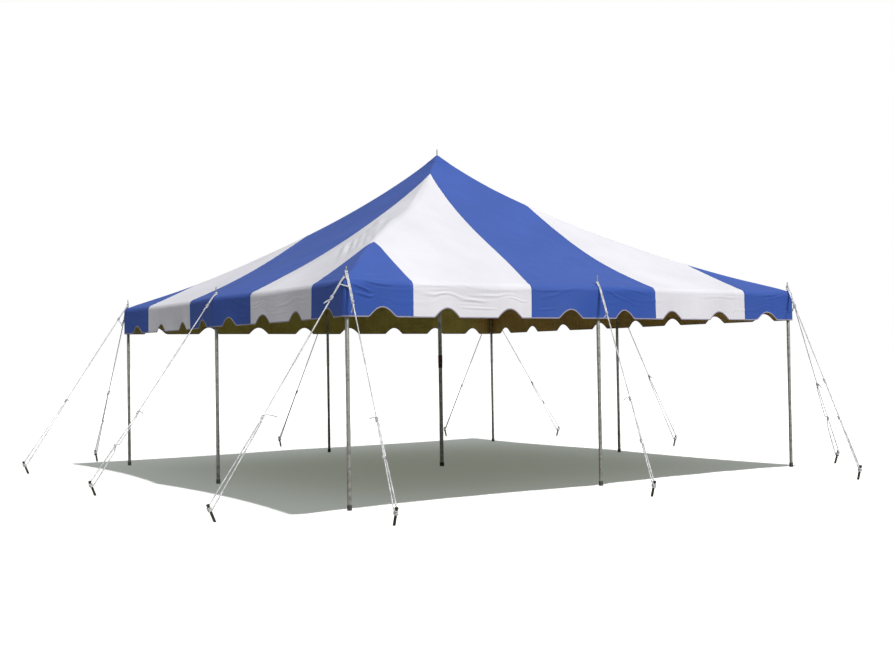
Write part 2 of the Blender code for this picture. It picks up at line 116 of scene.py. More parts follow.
# Creases of the valance in front: a path of places along the side and lengths down the
# cloth from the eave, then half the crease's width and its share of the fold depth
EAVE_CREASES = (
    (((-3.02, 0.030), (-2.93, 0.028), (-2.81, 0.058), (-2.70, 0.077), (-2.50, 0.078)), 0.012, 1.5),
    (((-3.03, 0.065), (-2.95, 0.097), (-2.86, 0.124), (-2.76, 0.172)), 0.012, 1.9),
    (((-3.01, 0.150), (-2.93, 0.168), (-2.74, 0.214)), 0.012, 1.5),
    (((-2.31, 0.074), (-1.99, 0.072), (-1.74, 0.071)), 0.010, 0.7),
    (((-1.80, 0.050), (-1.70, 0.064), (-1.58, 0.090)), 0.008, 0.9),
    (((-1.66, 0.092), (-1.26, 0.106), (-0.87, 0.109)), 0.018, 0.4),
    (((-2.32, 0.126), (-2.08, 0.158), (-1.87, 0.172), (-1.38, 0.226)), 0.016, 0.7),
    (((-1.81, 0.202), (-1.60, 0.208), (-1.37, 0.226)), 0.012, 0.5),
    (((-1.18, 0.214), (-0.90, 0.212)), 0.010, 0.6),
    (((-1.81, 0.280), (-1.51, 0.288), (-1.24, 0.296)), 0.010, 0.6),
    (((-0.86, 0.188), (-0.62, 0.152), (-0.33, 0.063), (-0.08, 0.058)), 0.016, 0.45),
    (((-0.86, 0.106), (-0.52, 0.090), (-0.30, 0.064)), 0.012, 0.4),
    (((0.03, 0.070), (0.18, 0.101), (0.31, 0.182), (0.44, 0.232)), 0.012, 1.1),
    (((0.26, 0.045), (0.50, 0.066), (0.71, 0.098), (0.86, 0.122)), 0.013, 0.7),
    (((-0.81, 0.300), (-0.55, 0.278)), 0.010, 0.5),
)
# Gathers of the left side's roof by the front hip: where each lies at GATHER_REACH,
# the reaches it begins and ends at, half its width and its share of the fold depth
GATHER_REACH = 2.1
GATHER_LEAN = 1.5               # its way along the side for each metre of reach
GATHERS = (
    (1.30, 1.95, 2.62, 0.034, 1.7),
    (1.50, 1.85, 2.55, 0.030, 2.0),
    (1.64, 1.70, 2.50, 0.034, 2.1),
    (1.78, 1.45, 2.40, 0.040, 1.7),
    (1.92, 1.20, 2.25, 0.045, 1.5),
)

# Each guy rope, by the name of its stake: the side it leaves over, the length of its eye,
# the share of its run at which it is hitched and hitched again (0 for no second hitch),
# then for the free ends at its eye and its hitch: compass angle, slope and length
ROPES = (
    ("front_left_1", "left", 0.19, 0.61, 0.0, (146, -0.35, 0.075), (-34, 0.0, 0.13)),
    ("front_left_2", "front", 0.23, 0.62, 0.79, (146, -2.4, 0.08), (146, -0.2, 0.05)),
    ("front_middle", "front", 0.31, 0.58, 0.80, (146, -0.5, 0.05), (150, -0.6, 0.06)),
    ("front_right_1", "front", 0.15, 0.52, 0.74, (20, -1.2, 0.06), (-20, -1.5, 0.06)),
    ("front_right_2", "right", 0.15, 0.56, 0.78, (60, -0.8, 0.06), (-30, -1.0, 0.07)),
    ("right_middle", "right", 0.14, 0.52, 0.0, (140, -0.9, 0.06), (-50, -1.0, 0.06)),
    ("back_right_1", "right", 0.16, 0.58, 0.76, (30, -1.1, 0.05), (10, -1.2, 0.06)),
    ("back_right_2", "back", 0.14, 0.60, 0.0, (330, -0.8, 0.06), (200, -1.1, 0.05)),
    ("back_middle", "back", 0.15, 0.61, 0.0, (210, -1.0, 0.06), (120, -1.2, 0.05)),
    ("back_left_1", "back", 0.15, 0.56, 0.78, (100, -1.2, 0.06), (170, -1.0, 0.06)),
    ("back_left_2", "left", 0.16, 0.60, 0.0, (300, -0.9, 0.06), (-40, -0.6, 0.05)),
    ("left_middle", "left", 0.12, 0.63, 0.81, (170, -0.7, 0.05), (-34, -0.5, 0.06)),
)

# Stage: angles in degrees, colours as shares of the floor's own
CAMERA_PLACE = (-8.191, -12.321, 1.374)
CAMERA_ANGLES = (56.03, 1.154, -0.911)      # yaw from +X, pitch and roll
FOCAL_LENGTH = 46.39
KEY_AIM = (0.01, 0.62, -0.5)
KEY_SPREAD = 16
OVERHEAD_PLACE = (1.42, -4.3, 20.7)
LIGHT_TINT = (1.0, 0.985, 0.97)
SKY_TINT = (0.93, 0.96, 1, 1)
FLOOR_PALE = 0.98               # the paler of its patches
FLOOR_UNSEEN = 0.29             # as it lights the tent from below
FLOOR_WHITENS = (7.0, 15.0)     # it fades to white between these distances


# Small helpers


def smooth(value, start, end):
    """0 before start, 1 after end, and a smooth rise between them."""
    share = np.clip((value - start) / (end - start), 0.0, 1.0)
    return share * share * (3 - 2 * share)


def turn_matrix(side):
    """Rotation that carries points of the front side to another side."""
    return np.array(Matrix.Rotation(SIDES.index(side) * math.pi / 2, 3, "Z"))


def unit(vectors):
    """Vectors of length 1 along one vector or along each row of vectors."""
    return vectors / np.linalg.norm(vectors, axis=-1, keepdims=True)


def add_object(name, data):
    """Add an object to the scene."""
    made = bpy.data.objects.new(name, data)
    bpy.context.scene.collection.objects.link(made)
    return made


def add_mesh(name, points, faces, material):
    """Add a mesh object of one material to the scene."""
    mesh = bpy.data.meshes.new(name)
    mesh.from_pydata([tuple(point) for point in points], [], [list(face) for face in faces])
    mesh.materials.append(material)
    return add_object(name, mesh)


def add_piece(name, points, faces, material, slot, replaces=(), uv=None, crease=40):
    """Make a smooth-shaded mesh piece that rides with the tent."""
    piece = add_mesh(name, points, faces, material)
    mesh = piece.data
    if uv is not None:
        layer = mesh.uv_layers.new(name="UVMap")
        places = np.zeros(len(mesh.loops), int)
        mesh.loops.foreach_get("vertex_index", places)
        layer.data.foreach_set("uv", np.asarray(uv, float)[places].ravel())
    bm = bmesh.new()
    bm.from_mesh(mesh)
    bmesh.ops.remove_doubles(bm, verts=bm.verts, dist=0.0002)
    bmesh.ops.dissolve_degenerate(bm, edges=bm.edges, dist=0.0001)
    bm.to_mesh(mesh)
    bm.free()
    mesh.shade_smooth()
    mesh.set_sharp_from_angle(angle=math.radians(crease))
    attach(piece, "root")
    if replaces:
        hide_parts(*replaces)
    return piece


def turned(profile, sides, closed=False):
    """Points and faces of a round piece on the Z axis, from its (radius, height)s."""
    angles = np.arange(sides) * 2 * math.pi / sides
    return bridged([np.stack([r * np.cos(angles), r * np.sin(angles), 0 * angles + z], -1)
                    for r, z in profile], closed)


def bridged(rings, closed=False):
    """Points and faces of a tube through rings of equal length, with its ends closed."""
    count = len(rings[0])
    faces = []
    for k in range(len(rings) if closed else len(rings) - 1):
        low = k * count
        high = (k + 1) % len(rings) * count
        for i in range(count):
            j = (i + 1) % count
            faces.append((low + i, low + j, high + j, high + i))
    if not closed:
        last = (len(rings) - 1) * count
        faces += [tuple(range(count))[::-1], tuple(range(last, last + count))]
    return np.concatenate(rings), faces


def joined(parts):
    """Points and faces of several shapes in one."""
    points = []
    faces = []
    for made, sides in parts:
        first = sum(len(p) for p in points)
        points.append(made)
        faces += [[first + i for i in side] for side in sides]
    return np.concatenate(points), faces


# Shader groups that several finishes share


def new_group(name, inputs, output):
    """Make a shader group that turns a place and some values into one output."""
    group = bpy.data.node_groups.new(name, "ShaderNodeTree")
    group.interface.new_socket("Vector", in_out="INPUT", socket_type="NodeSocketVector")
    for label, default in inputs.items():
        socket = group.interface.new_socket(label, in_out="INPUT", socket_type="NodeSocketFloat")
        socket.default_value = default
    group.interface.new_socket(output, in_out="OUTPUT", socket_type="NodeSocketFloat")
    given = group.nodes.new("NodeGroupInput").outputs
    wanted = group.nodes.new("NodeGroupOutput").inputs
    return group, given, wanted[output]


def add_node(tree, kind, values=None, **settings):
    """Add a node, with sockets or plain values for its inputs."""
    node = tree.nodes.new(kind)
    for name, value in settings.items():
        setattr(node, name, value)
    for place, value in (values or {}).items():
        socket = node.inputs[place]
        if isinstance(value, bpy.types.NodeSocket):
            tree.links.new(value, socket)
        else:
            socket.default_value = value
    return node


def add_maths(tree, operation, first, second=0.5, third=0.5):
    """Add a Math node and give its result."""
    values = {0: first, 1: second, 2: third}
    return add_node(tree, "ShaderNodeMath", values, operation=operation).outputs[0]


def mapped(tree, value, low, high, new_low=0.0, new_high=1.0):
    """Add a Map Range node and give its result."""
    values = {0: value, 1: low, 2: high, 3: new_low, 4: new_high}
    return add_node(tree, "ShaderNodeMapRange", values).outputs[0]


def noise(tree, vector, scale, detail=2.0, roughness=0.5):
    """Add a noise texture and give its value."""
    values = {"Vector": vector, "Scale": scale, "Detail": detail, "Roughness": roughness}
    return add_node(tree, "ShaderNodeTexNoise", values).outputs[0]


def split(tree, vector):
    """Give the three parts of a vector."""
    return add_node(tree, "ShaderNodeSeparateXYZ", {0: vector}).outputs


def weave_group():
    """Threads that show through a coating, as a height over UV in metres."""
    group, given, height = new_group("Weave", {"Threads per metre": 900.0}, "Height")
    axes = split(group, given["Vector"])
    waves = []
    for axis in (0, 1):
        phase = add_maths(group, "MULTIPLY", axes[axis], given["Threads per metre"])
        wave = add_maths(group, "SINE", add_maths(group, "MULTIPLY", phase, math.pi))
        waves.append(add_maths(group, "ABSOLUTE", wave))
    group.links.new(add_maths(group, "MULTIPLY", *waves), height)
    return group


def stains_group():
    """Soft patches of dirt, with runs down the cloth, as a mask."""
    group, given, mask = new_group("Stains", {"Patch size": 0.5, "Run size": 0.03}, "Mask")
    vector = given["Vector"]
    scale = add_maths(group, "DIVIDE", 1.0, given["Patch size"])
    patches = mapped(group, noise(group, vector, scale, 6.0, 0.6), 0.42, 0.75)
    across = add_maths(group, "DIVIDE", 1.0, given["Run size"])
    down = add_maths(group, "MULTIPLY", across, 0.06)
    axes = split(group, vector)
    stretched = add_node(group, "ShaderNodeCombineXYZ", {
        0: add_maths(group, "MULTIPLY", axes[0], across),
        1: add_maths(group, "MULTIPLY", axes[1], down), 2: axes[2]}).outputs[0]
    runs = mapped(group, noise(group, stretched, 1.0, 3.0), 0.5, 0.8)
    group.links.new(add_maths(group, "MULTIPLY_ADD", runs, 0.5, patches), mask)
    return group


def wear_group():
    """Fine scratches and rubbed spots, as a mask."""
    group, given, mask = new_group("Wear", {"Size": 0.02, "Share": 0.3}, "Mask")
    scale = add_maths(group, "DIVIDE", 1.0, given["Size"])
    low = add_maths(group, "SUBTRACT", 0.72, given["Share"])
    high = add_maths(group, "ADD", low, 0.12)
    spots = noise(group, given["Vector"], scale, 9.0, 0.7)
    group.links.new(mapped(group, spots, low, high), mask)
    return group


def spangle_group():
    """The crystal patches of a zinc coat, as a value."""
    group, given, value = new_group("Spangle", {"Size": 0.008}, "Value")
    scale = add_maths(group, "DIVIDE", 1.0, given["Size"])
    cells = add_node(group, "ShaderNodeTexVoronoi", {"Vector": given["Vector"], "Scale": scale})
    grey = add_node(group, "ShaderNodeRGBToBW", {0: cells.outputs["Color"]})
    group.links.new(grey.outputs[0], value)
    return group


GROUP_MAKERS = {"Weave": weave_group, "Stains": stains_group, "Wear": wear_group,
                "Spangle": spangle_group}


def use_group(tree, name, values):
    """Place a shared group in a material, and give its output."""
    group = bpy.data.node_groups.get(name) or GROUP_MAKERS[name]()
    return add_node(tree, "ShaderNodeGroup", values, node_tree=group).outputs[0]


def worn(tree, vector, size, share):
    """Place the shared wear group, and give its mask."""
    return use_group(tree, "Wear", {"Vector": vector, "Size": size, "Share": share})


# Finishes


def new_finish(name, roughness, metallic=0.0):
    """Make a material, and give it with its tree, its shader and the two coordinates."""
    made = bpy.data.materials.new(name)
    made.use_nodes = True
    tree = made.node_tree
    shader = tree.nodes["Principled BSDF"]
    shader.inputs["Roughness"].default_value = roughness
    shader.inputs["Metallic"].default_value = metallic
    places = add_node(tree, "ShaderNodeTexCoord").outputs
    return made, tree, shader, places["UV"], places["Object"]


def mixed(tree, mask, first, second):
    """Mix two colours by a mask."""
    values = {0: mask}
    for place, colour in ((6, first), (7, second)):
        plain = not isinstance(colour, bpy.types.NodeSocket)
        values[place] = (*colour, 1.0) if plain else colour
    return add_node(tree, "ShaderNodeMix", values, data_type="RGBA").outputs[2]


def bumped(tree, shader, height, distance, strength, under=None):
    """Add a bump from a height, over an earlier bump if there is one."""
    values = {"Height": height, "Distance": distance, "Strength": strength}
    if under:
        values["Normal"] = under
    bump = add_node(tree, "ShaderNodeBump", values).outputs[0]
    tree.links.new(bump, shader.inputs["Normal"])
    return bump


def coated_cloth(name, colour, dirt, dirt_share, roughness, light_through=None):
    """Vinyl-coated cloth with its weave showing through, light dirt and fine crumples, and, if a
    second colour is given, painted light through the cloth in that colour towards +X.
    """
    made, tree, shader, uv, place = new_finish(name, roughness)
    shader.inputs["Specular IOR Level"].default_value = 0.3
    stains = use_group(tree, "Stains", {"Vector": uv, "Patch size": 0.7, "Run size": 0.035})
    faded = noise(tree, uv, 1.1)
    pale = [c * 1.05 + 0.004 for c in colour]
    base = mixed(tree, mapped(tree, faded, 0.3, 0.7), [c * 0.95 for c in colour], pale)
    # Painted light: light coming through the cloth, painted as a warmer colour towards +X with a
    # patchy edge
    if light_through:
        patchy = mapped(tree, faded, 0.3, 0.7, -0.2, 0.2)
        along = add_maths(tree, "ADD", split(tree, place)[0], patchy)
        base = mixed(tree, mapped(tree, along, *LIGHT_THROUGH_SPAN), base, light_through)
    share = add_maths(tree, "MULTIPLY", stains, dirt_share)
    tree.links.new(mixed(tree, share, base, dirt), shader.inputs["Base Color"])
    rough = mapped(tree, stains, 0.0, 1.0, roughness - 0.04, roughness + 0.12)
    tree.links.new(rough, shader.inputs["Roughness"])
    under = bumped(tree, shader, noise(tree, uv, 9.0, 3.0), 0.006, 0.35)
    weave = use_group(tree, "Weave", {"Vector": uv, "Threads per metre": 700.0})
    bumped(tree, shader, weave, 0.0002, 0.5, under)
    return made


def zinc_steel(name, colour, size):
    """Dull galvanised steel with its spangle, handling marks and dark scratches."""
    made, tree, shader, _, place = new_finish(name, 0.45, 0.5)
    spangle = use_group(tree, "Spangle", {"Vector": place, "Size": size})
    marks = worn(tree, place, 0.05, 0.25)
    base = mixed(tree, spangle, colour, [c * 1.25 for c in colour])
    base = mixed(tree, marks, base, [c * 0.7 for c in colour])
    tree.links.new(base, shader.inputs["Base Color"])
    tree.links.new(mapped(tree, spangle, 0.0, 1.0, 0.36, 0.52), shader.inputs["Roughness"])
    bumped(tree, shader, noise(tree, place, 220.0, 4.0), 0.0004, 0.3)
    return made


def rusty_steel(name, colour, rust):
    """Forged steel with rust in patches and bare metal where it is struck."""
    made, tree, shader, _, place = new_finish(name, 0.6, 0.6)
    patches = worn(tree, place, 0.03, 0.32)
    struck = worn(tree, place, 0.008, 0.2)
    base = mixed(tree, patches, colour, rust)
    base = mixed(tree, struck, base, [c * 2.5 + 0.02 for c in colour])
    tree.links.new(base, shader.inputs["Base Color"])
    tree.links.new(mapped(tree, patches, 0.0, 1.0, 0.45, 0.85), shader.inputs["Roughness"])
    tree.links.new(mapped(tree, patches, 0.0, 1.0, 0.8, 0.2), shader.inputs["Metallic"])
    bumped(tree, shader, noise(tree, place, 300.0, 5.0), 0.0012, 0.5)
    return made


def cap_rubber(name, colour):
    """Black rubber with dust on it."""
    made, tree, shader, _, place = new_finish(name, 0.8)
    base = mixed(tree, worn(tree, place, 0.012, 0.3), colour, [c + 0.05 for c in colour])
    tree.links.new(base, shader.inputs["Base Color"])
    bumped(tree, shader, noise(tree, place, 900.0), 0.0003, 0.4)
    return made


def laid_rope(name, colour):
    """White rope yarn with fine fibres and darker patches, partly dirt and partly painted shade
    for the dark grooves of its lay.
    """
    made, tree, shader, uv, place = new_finish(name, 0.75)
    # Darker patches: partly dirt, partly painted shade standing for the dark grooves of the lay
    share = add_maths(tree, "MULTIPLY", worn(tree, place, 0.06, 0.3), 0.6)
    base = mixed(tree, share, colour, [c * 0.4 for c in colour])
    tree.links.new(base, shader.inputs["Base Color"])
    yarns = add_node(tree, "ShaderNodeTexWave", {"Vector": uv, "Scale": 60.0,
                                                 "Distortion": 2.0, "Detail": 2.0})
    bumped(tree, shader, yarns.outputs[1], 0.0006, 0.6)
    return made


# The canopy's surface


def roof_height(reach):
    """Height of the roof at distances from the centre, square to a side."""
    reach = np.asarray(reach, float)

    def curved(r):
        """The curve outside the peak patch, over which the cloth is straight."""
        part = r / HALF
        dip = ROOF_DIP * part + PEAK_DIP * (1 - np.exp(-part / PEAK_REACH))
        return EAVE_HEIGHT + (PEAK_HEIGHT - EAVE_HEIGHT) * (1 - part) * (1 - dip)

    straight = PEAK_HEIGHT + (curved(PEAK_PATCH) - PEAK_HEIGHT) * reach / PEAK_PATCH
    return np.where(reach < PEAK_PATCH, straight, curved(reach))


def draw_in(x, reach):
    """How far points along a side are drawn in between the poles."""
    part = np.minimum(np.abs(x) / reach, 1.0)
    near_eave = np.minimum(reach / HALF, 1.0) ** 4
    return EAVE_DRAW * 4 * part * (1 - part) * near_eave


def hip_rise(reach):
    """How far the straight hip stands above the dipping roof."""
    straight = PEAK_HEIGHT + (EAVE_HEIGHT - PEAK_HEIGHT) * reach / HALF
    rise = (straight - roof_height(reach)) * smooth(reach, STRAIGHT_FROM, STRAIGHT_AT)
    return np.where(reach < HALF, rise, 0.0)


def stripe_seam(reach, tip):
    """Half width of the middle stripe at a reach, from its tip on the hip to the eave."""
    along = np.clip((reach - tip) / (HALF - tip), 0.0, 1.0)
    bow = SEAM_BOW * np.sin(math.pi * along ** SEAM_BOW_PLACE)
    return np.where(reach < tip, reach, tip + (CENTRE_STRIPE - tip) * along - bow)


def corner_seam(reach, tip):
    """Distance of the blue corner's seam from the middle of a side, from its tip to the eave."""
    along = np.clip((reach - tip) / (HALF - tip), 0.0, 1.0)
    return tip + (WHITE_STRIPE - tip) * along


def hem_height(x):
    """Height of the hem along a side, with its arched notches."""
    middle = (np.floor(x / NOTCH_PITCH) + 0.5) * NOTCH_PITCH
    part = np.minimum(np.abs(x - middle) / NOTCH_HALF_WIDTH, 1.0)
    return HEM + NOTCH_HEIGHT * (1 - part ** 2) ** 1.2


def slope_at(reach):
    """Angle of the roof below level."""
    step = 0.001
    return np.arctan2(roof_height(reach - step) - roof_height(reach + step), 2 * step)


def shoulder_centre():
    """Centre of the shoulder's curve, as reach and height, and the slope it starts at."""
    slope = float(slope_at(ROLL_START))
    reach = ROLL_START - SHOULDER_RADIUS * math.sin(slope)
    height = float(roof_height(ROLL_START)) - SHOULDER_RADIUS * math.cos(slope)
    return reach, height, slope


def canopy_rows():
    """Rows from the peak down to the hem, the same for every piece of the canopy.

    Each row is its reach, height, the angle its outside faces above level, its length
    along the cloth from the eave, and its share of the way down the valance.
    """
    reaches = {*np.round(np.linspace(PEAK_HOLE, HALF - 0.2, 62), 5),
               *np.round(np.linspace(HALF - 0.2, ROLL_START, 13), 5)}
    for kink in (PEAK_PATCH, *(tip for tips in TIPS.values() for tip in tips)):
        reaches = {r for r in reaches if abs(r - kink) > 0.015} | {kink}
    reaches = np.array(sorted(reaches))
    heights = roof_height(reaches)
    lengths = np.cumsum(np.hypot(np.diff(reaches, prepend=reaches[0]),
                                 np.diff(heights, prepend=heights[0])))
    facing = math.pi / 2 - slope_at(reaches)
    rows = np.stack([reaches, heights, facing, lengths, 0 * lengths], 1).tolist()
    length = rows[-1][3]
    eave = length - (ROLL_START - HALF)
    centre, level, slope = shoulder_centre()
    for angle in np.linspace(slope, math.pi / 2, 9)[1:]:
        rows.append([centre + SHOULDER_RADIUS * math.sin(angle),
                     level + SHOULDER_RADIUS * math.cos(angle), math.pi / 2 - angle,
                     length + SHOULDER_RADIUS * (angle - slope), 0.0])
    reach, height, _, length, _ = rows[-1]
    for share in np.linspace(0, 1, 41)[1:]:
        rows.append([reach, height, 0.0, length + (height - HEM) * share, share])
    return np.array(rows) - (0, 0, 0, eave, 0)


def crest(offset):
    """The section of a crease: a rounded ridge with a shallow furrow on each side."""
    return np.exp(-offset ** 2) - 0.35 * np.exp(-(np.abs(offset) - 1.7) ** 2)


def make_creases(settings):
    """Creases of each side: those drawn by its pins, and finer ones along its eave.

    Gives for each side its creases as in EAVE_CREASES.
    """
    dice = random.Random(settings.fold_seed)
    creases = {}
    for side in SIDES:
        way = -1 if side in ("right", "left") else 1
        strength = 0.35 if side == "left" else 1.0
        made = []
        for path, width, share in EAVE_CREASES:
            shift = 0.0 if side == "front" else dice.uniform(-0.012, 0.012)
            places = sorted((x * way, down + shift) for x, down in path)
            made.append((places, width, share * strength))
        for angle in (5, 14, 26):
            slope = math.tan(math.radians(angle + dice.uniform(-3, 3)))
            far = dice.uniform(0.3, 0.6)
            places = [((HALF - t) * way, 0.03 + slope * t * (1 - 0.6 * t))
                      for t in np.linspace(0.03, far, 5)]
            made.append((sorted(places), 0.011, dice.uniform(0.6, 1.0) * strength))
        for pin in (-HALF, 0.0, HALF):
            for along in (-1, 1):
                far = dice.uniform(0.7, 1.3)
                rise = dice.uniform(0.10, 0.28)
                places = sorted([(pin + along * 0.06, -0.01), (pin + along * far, -rise * far)])
                made.append((places, 0.03, 0.3))
        for _ in range(14):
            start = dice.uniform(-HALF, HALF - 0.4)
            far = dice.uniform(0.4, 1.1)
            down = dice.uniform(0.06, 0.30)
            places = [(start, down), (start + far / 2, down + dice.uniform(-0.01, 0.02)),
                      (start + far, down + dice.uniform(-0.02, 0.02))]
            share = dice.uniform(0.15, 0.4) * strength
            made.append((places, dice.uniform(0.010, 0.016), share))
        creases[side] = made
    return creases


def fold_height(side, x, reach, length, share, creases, size):
    """How far the cloth stands out from its smooth shape at points of one side."""
    out = np.zeros_like(x)
    for path, width, strength in creases[side]:
        places, downs = np.array(path).T
        fine = np.linspace(places[0], places[-1], 25)
        eased = np.interp(fine, places, downs)
        for _ in range(4):
            eased[1:-1] = (eased[:-2] + 2 * eased[1:-1] + eased[2:]) / 4
        slope = np.interp(x, fine, np.gradient(eased, fine))
        off = (length - np.interp(x, fine, eased)) / np.sqrt(1 + slope ** 2)
        third = (places[-1] - places[0]) / 3
        window = (smooth(x, places[0], places[0] + third)
                  * (1 - smooth(x, places[-1] - third, places[-1])))
        out += strength * crest(off / width) * window
    if side == "left":
        for place, start, end, width, strength in GATHERS:
            off = (x - place - GATHER_LEAN * (reach - GATHER_REACH)) / 1.8
            window = smooth(reach, start, start + 0.2) * (1 - smooth(reach, end - 0.2, end))
            out += strength * crest(off / width) * window
    turn = SIDES.index(side)
    wave = np.sin(x * 9.3 + turn * 1.7 + 0.8 * np.sin(x * 2.9 + turn))
    out += 1.1 * wave * share ** 1.5
    slack = np.sin(x * 3.1 + turn) * np.sin(length * 2.4 + 1.1 * turn + x)
    out += 0.8 * slack * smooth(-length, 0.1, 0.8)
    return out * size


def near_hip(x, reach):
    """The reach and place along a side that a point has once the hips are rounded."""
    width = HIP_ROUND * np.minimum(reach * 2, 1.0) * (1 - smooth(reach, 2.5, 2.9))
    width = np.maximum(width, 1e-6)
    apart = reach - np.abs(x)
    eased = np.where(apart < width, (apart ** 2 + width ** 2) / (2 * width), apart)
    middle = (reach + np.abs(x)) / 2
    return np.sign(x) * (middle - eased / 2), middle + eased / 2


def round_corner(x, reach):
    """Bring points of one side onto the rounded corner.

    Gives their x, their distance out, and the angle by which the cloth has turned.
    """
    radius = np.maximum(CORNER_ROUND * smooth(reach, HALF - 0.10, HALF + 0.02), 1e-6)
    inside = reach - radius
    edge = reach - np.abs(x)
    near = edge < radius
    turned_by = np.where(near, math.pi / 4 * (1 - edge / radius), 0.0)
    rounded_x = np.sign(x) * (inside + radius * np.sin(turned_by))
    rounded_out = inside + radius * np.cos(turned_by)
    return np.where(near, rounded_x, x), np.where(near, rounded_out, reach), turned_by


def canopy_points(side, x, rows, creases, settings, rise):
    """Places of the cloth's outside on one side, for a grid of x by rows."""
    reach, height, facing, length, share = (
        np.broadcast_to(rows[:, i:i + 1], x.shape) for i in range(5))
    round_x, round_reach = near_hip(x, reach)
    z = height + roof_height(round_reach) - roof_height(reach)
    z = z - share * (height - hem_height(x))
    towards_front_left = {"front": -round_x, "left": round_x}.get(side)
    if towards_front_left is not None:
        seam = stripe_seam(round_reach, TIPS["front_left"][0])
        part = (towards_front_left - seam) / np.maximum(round_reach - seam, 1e-6)
        z = z + hip_rise(round_reach) * np.clip(part, 0.0, 1.0)
    corner_x, out, turned_by = round_corner(x, reach)
    out = out - draw_in(x, reach)
    folds = fold_height(side, x, reach, length, share, creases, settings.fold_depth)
    pin_gap = np.minimum(np.hypot(x, length), np.hypot(np.abs(x) - HALF, length))
    folds = folds * smooth(reach - np.abs(x), 0.0, 0.07) * smooth(pin_gap, 0.02, 0.07)
    move = folds + rise
    corner_x = corner_x + move * np.cos(facing) * np.sin(turned_by) * np.sign(x)
    out = out + move * np.cos(facing) * np.cos(turned_by)
    z = z + move * np.sin(facing)
    return np.stack([corner_x, -out, z], -1) @ turn_matrix(side).T


def grid_faces(rows, columns):
    """Faces of a grid of points, turned outwards for rows that run down the cloth."""
    k, j = np.meshgrid(np.arange(rows - 1), np.arange(columns - 1), indexing="ij")
    start = k * columns + j
    return np.stack([start, start + columns, start + columns + 1, start + 1], -1).reshape(-1, 4)


def eave_columns(low, high):
    """Places of columns along the eave between two places, closer at each notch."""
    steps = np.sin(np.linspace(-1, 1, 15) * math.pi / 2)
    spacing = 0.024
    clear = 0.004
    places = []
    x = low + clear
    for i in range(math.floor(low / NOTCH_PITCH), math.ceil(high / NOTCH_PITCH)):
        notch = (i + 0.5) * NOTCH_PITCH
        while x < min(notch - NOTCH_HALF_WIDTH - spacing / 2, high):
            places.append(x)
            x += spacing
        places += [notch + step * NOTCH_HALF_WIDTH for step in steps]
        x = max(x, notch + NOTCH_HALF_WIDTH + spacing)
    while x < high:
        places.append(x)
        x += spacing
    return np.array([place for place in places if low + clear <= place <= high - clear])


def wing(side, low, high, rows, creases, settings, edges, tips):
    """Grid of a piece of canopy on one side, between edges that vary with reach.

    An edge is a "lap" over the next piece from its tip on, a "seam" under a lap, or a
    "hip". Gives the points and their places on the flat cloth.
    """
    reach = rows[:, :1]
    left = low(reach)
    right = high(reach)
    steps = [EDGE_STEPS[kind] for kind in edges]
    scale = np.minimum(1.0, (right - left) * 0.6 / (steps[0][-1] + steps[1][-1]))
    eave_start = float(low(HALF)) + steps[0][-1]
    eave_end = float(high(HALF)) - steps[1][-1]
    share = (eave_columns(eave_start, eave_end) - eave_start) / (eave_end - eave_start)
    start = left + steps[0][-1] * scale
    middle = start + (right - steps[1][-1] * scale - start) * share
    strips = []
    for kind, edge, inward, tip in zip(edges, (left, right), (1, -1), tips):
        lapped = smooth(reach, tip, tip + 0.12) * scale * (kind == "lap")
        x = [edge - inward * LAP * lapped]
        x += [edge + inward * step * scale for step in EDGE_STEPS[kind]]
        up = [LAP_RISE * lapped] * (len(x) - 1) + [lapped * 0.0]
        strips.append((x[::inward], up[::inward]))
    x = np.concatenate([*strips[0][0], middle, *strips[1][0]], 1)
    up = np.concatenate([*strips[0][1], middle * 0.0, *strips[1][1]], 1)
    points = canopy_points(side, x, rows, creases, settings, up)
    flat = np.stack([x, rows[:, 3:4] + rows[:, 4:5] * (HEM - hem_height(x))], -1)
    return points, flat


def flat_size(legs, peak_gap):
    """Sides of the smallest rectangle that holds a piece laid out flat.

    The second leg of a piece that crosses a hip is laid out on the other side of it.
    """
    hip = unit(np.array([HALF, peak_gap]))
    laid = []
    for number, (_, flat) in enumerate(legs):
        places = flat.reshape(-1, 2) + (0.0, peak_gap)
        if len(legs) > 1:
            places[:, 0] = np.abs(places[:, 0])
        if number:
            places = 2 * (places @ hip)[:, None] * hip - places
        laid.append(places)
    laid = np.concatenate(laid)
    sizes = []
    for degrees in range(0, 90, 3):
        turn = Matrix.Rotation(math.radians(degrees), 2)
        sizes.append(sorted(np.ptp(laid @ np.array(turn), axis=0)))
    return [round(float(side), 3) for side in min(sizes, key=lambda size: size[0] * size[1])]


def cloth_piece(name, node, slot, legs, materials, thickness):
    """A sheet of canopy from its grids, with its thickness and its lining, and its area."""
    points, faces = joined([(grid.reshape(-1, 3), grid_faces(*grid.shape[:2]))
                            for grid, _ in legs])
    flat = np.concatenate([flat.reshape(-1, 2) for _, flat in legs])
    piece = add_piece(name, points, faces, materials[0], slot, [node], flat)
    area = sum(face.area for face in piece.data.polygons)
    piece.data.materials.append(materials[1])
    thicken = piece.modifiers.new("Thickness", "SOLIDIFY")
    thicken.thickness = thickness
    thicken.offset = -1.0
    thicken.material_offset = 1
    layer = bpy.context.evaluated_depsgraph_get()
    made = bpy.data.meshes.new_from_object(piece.evaluated_get(layer))
    made.name = name
    piece.modifiers.clear()
    piece.data = made
    made.set_sharp_from_angle(angle=math.radians(55))
    return piece, area


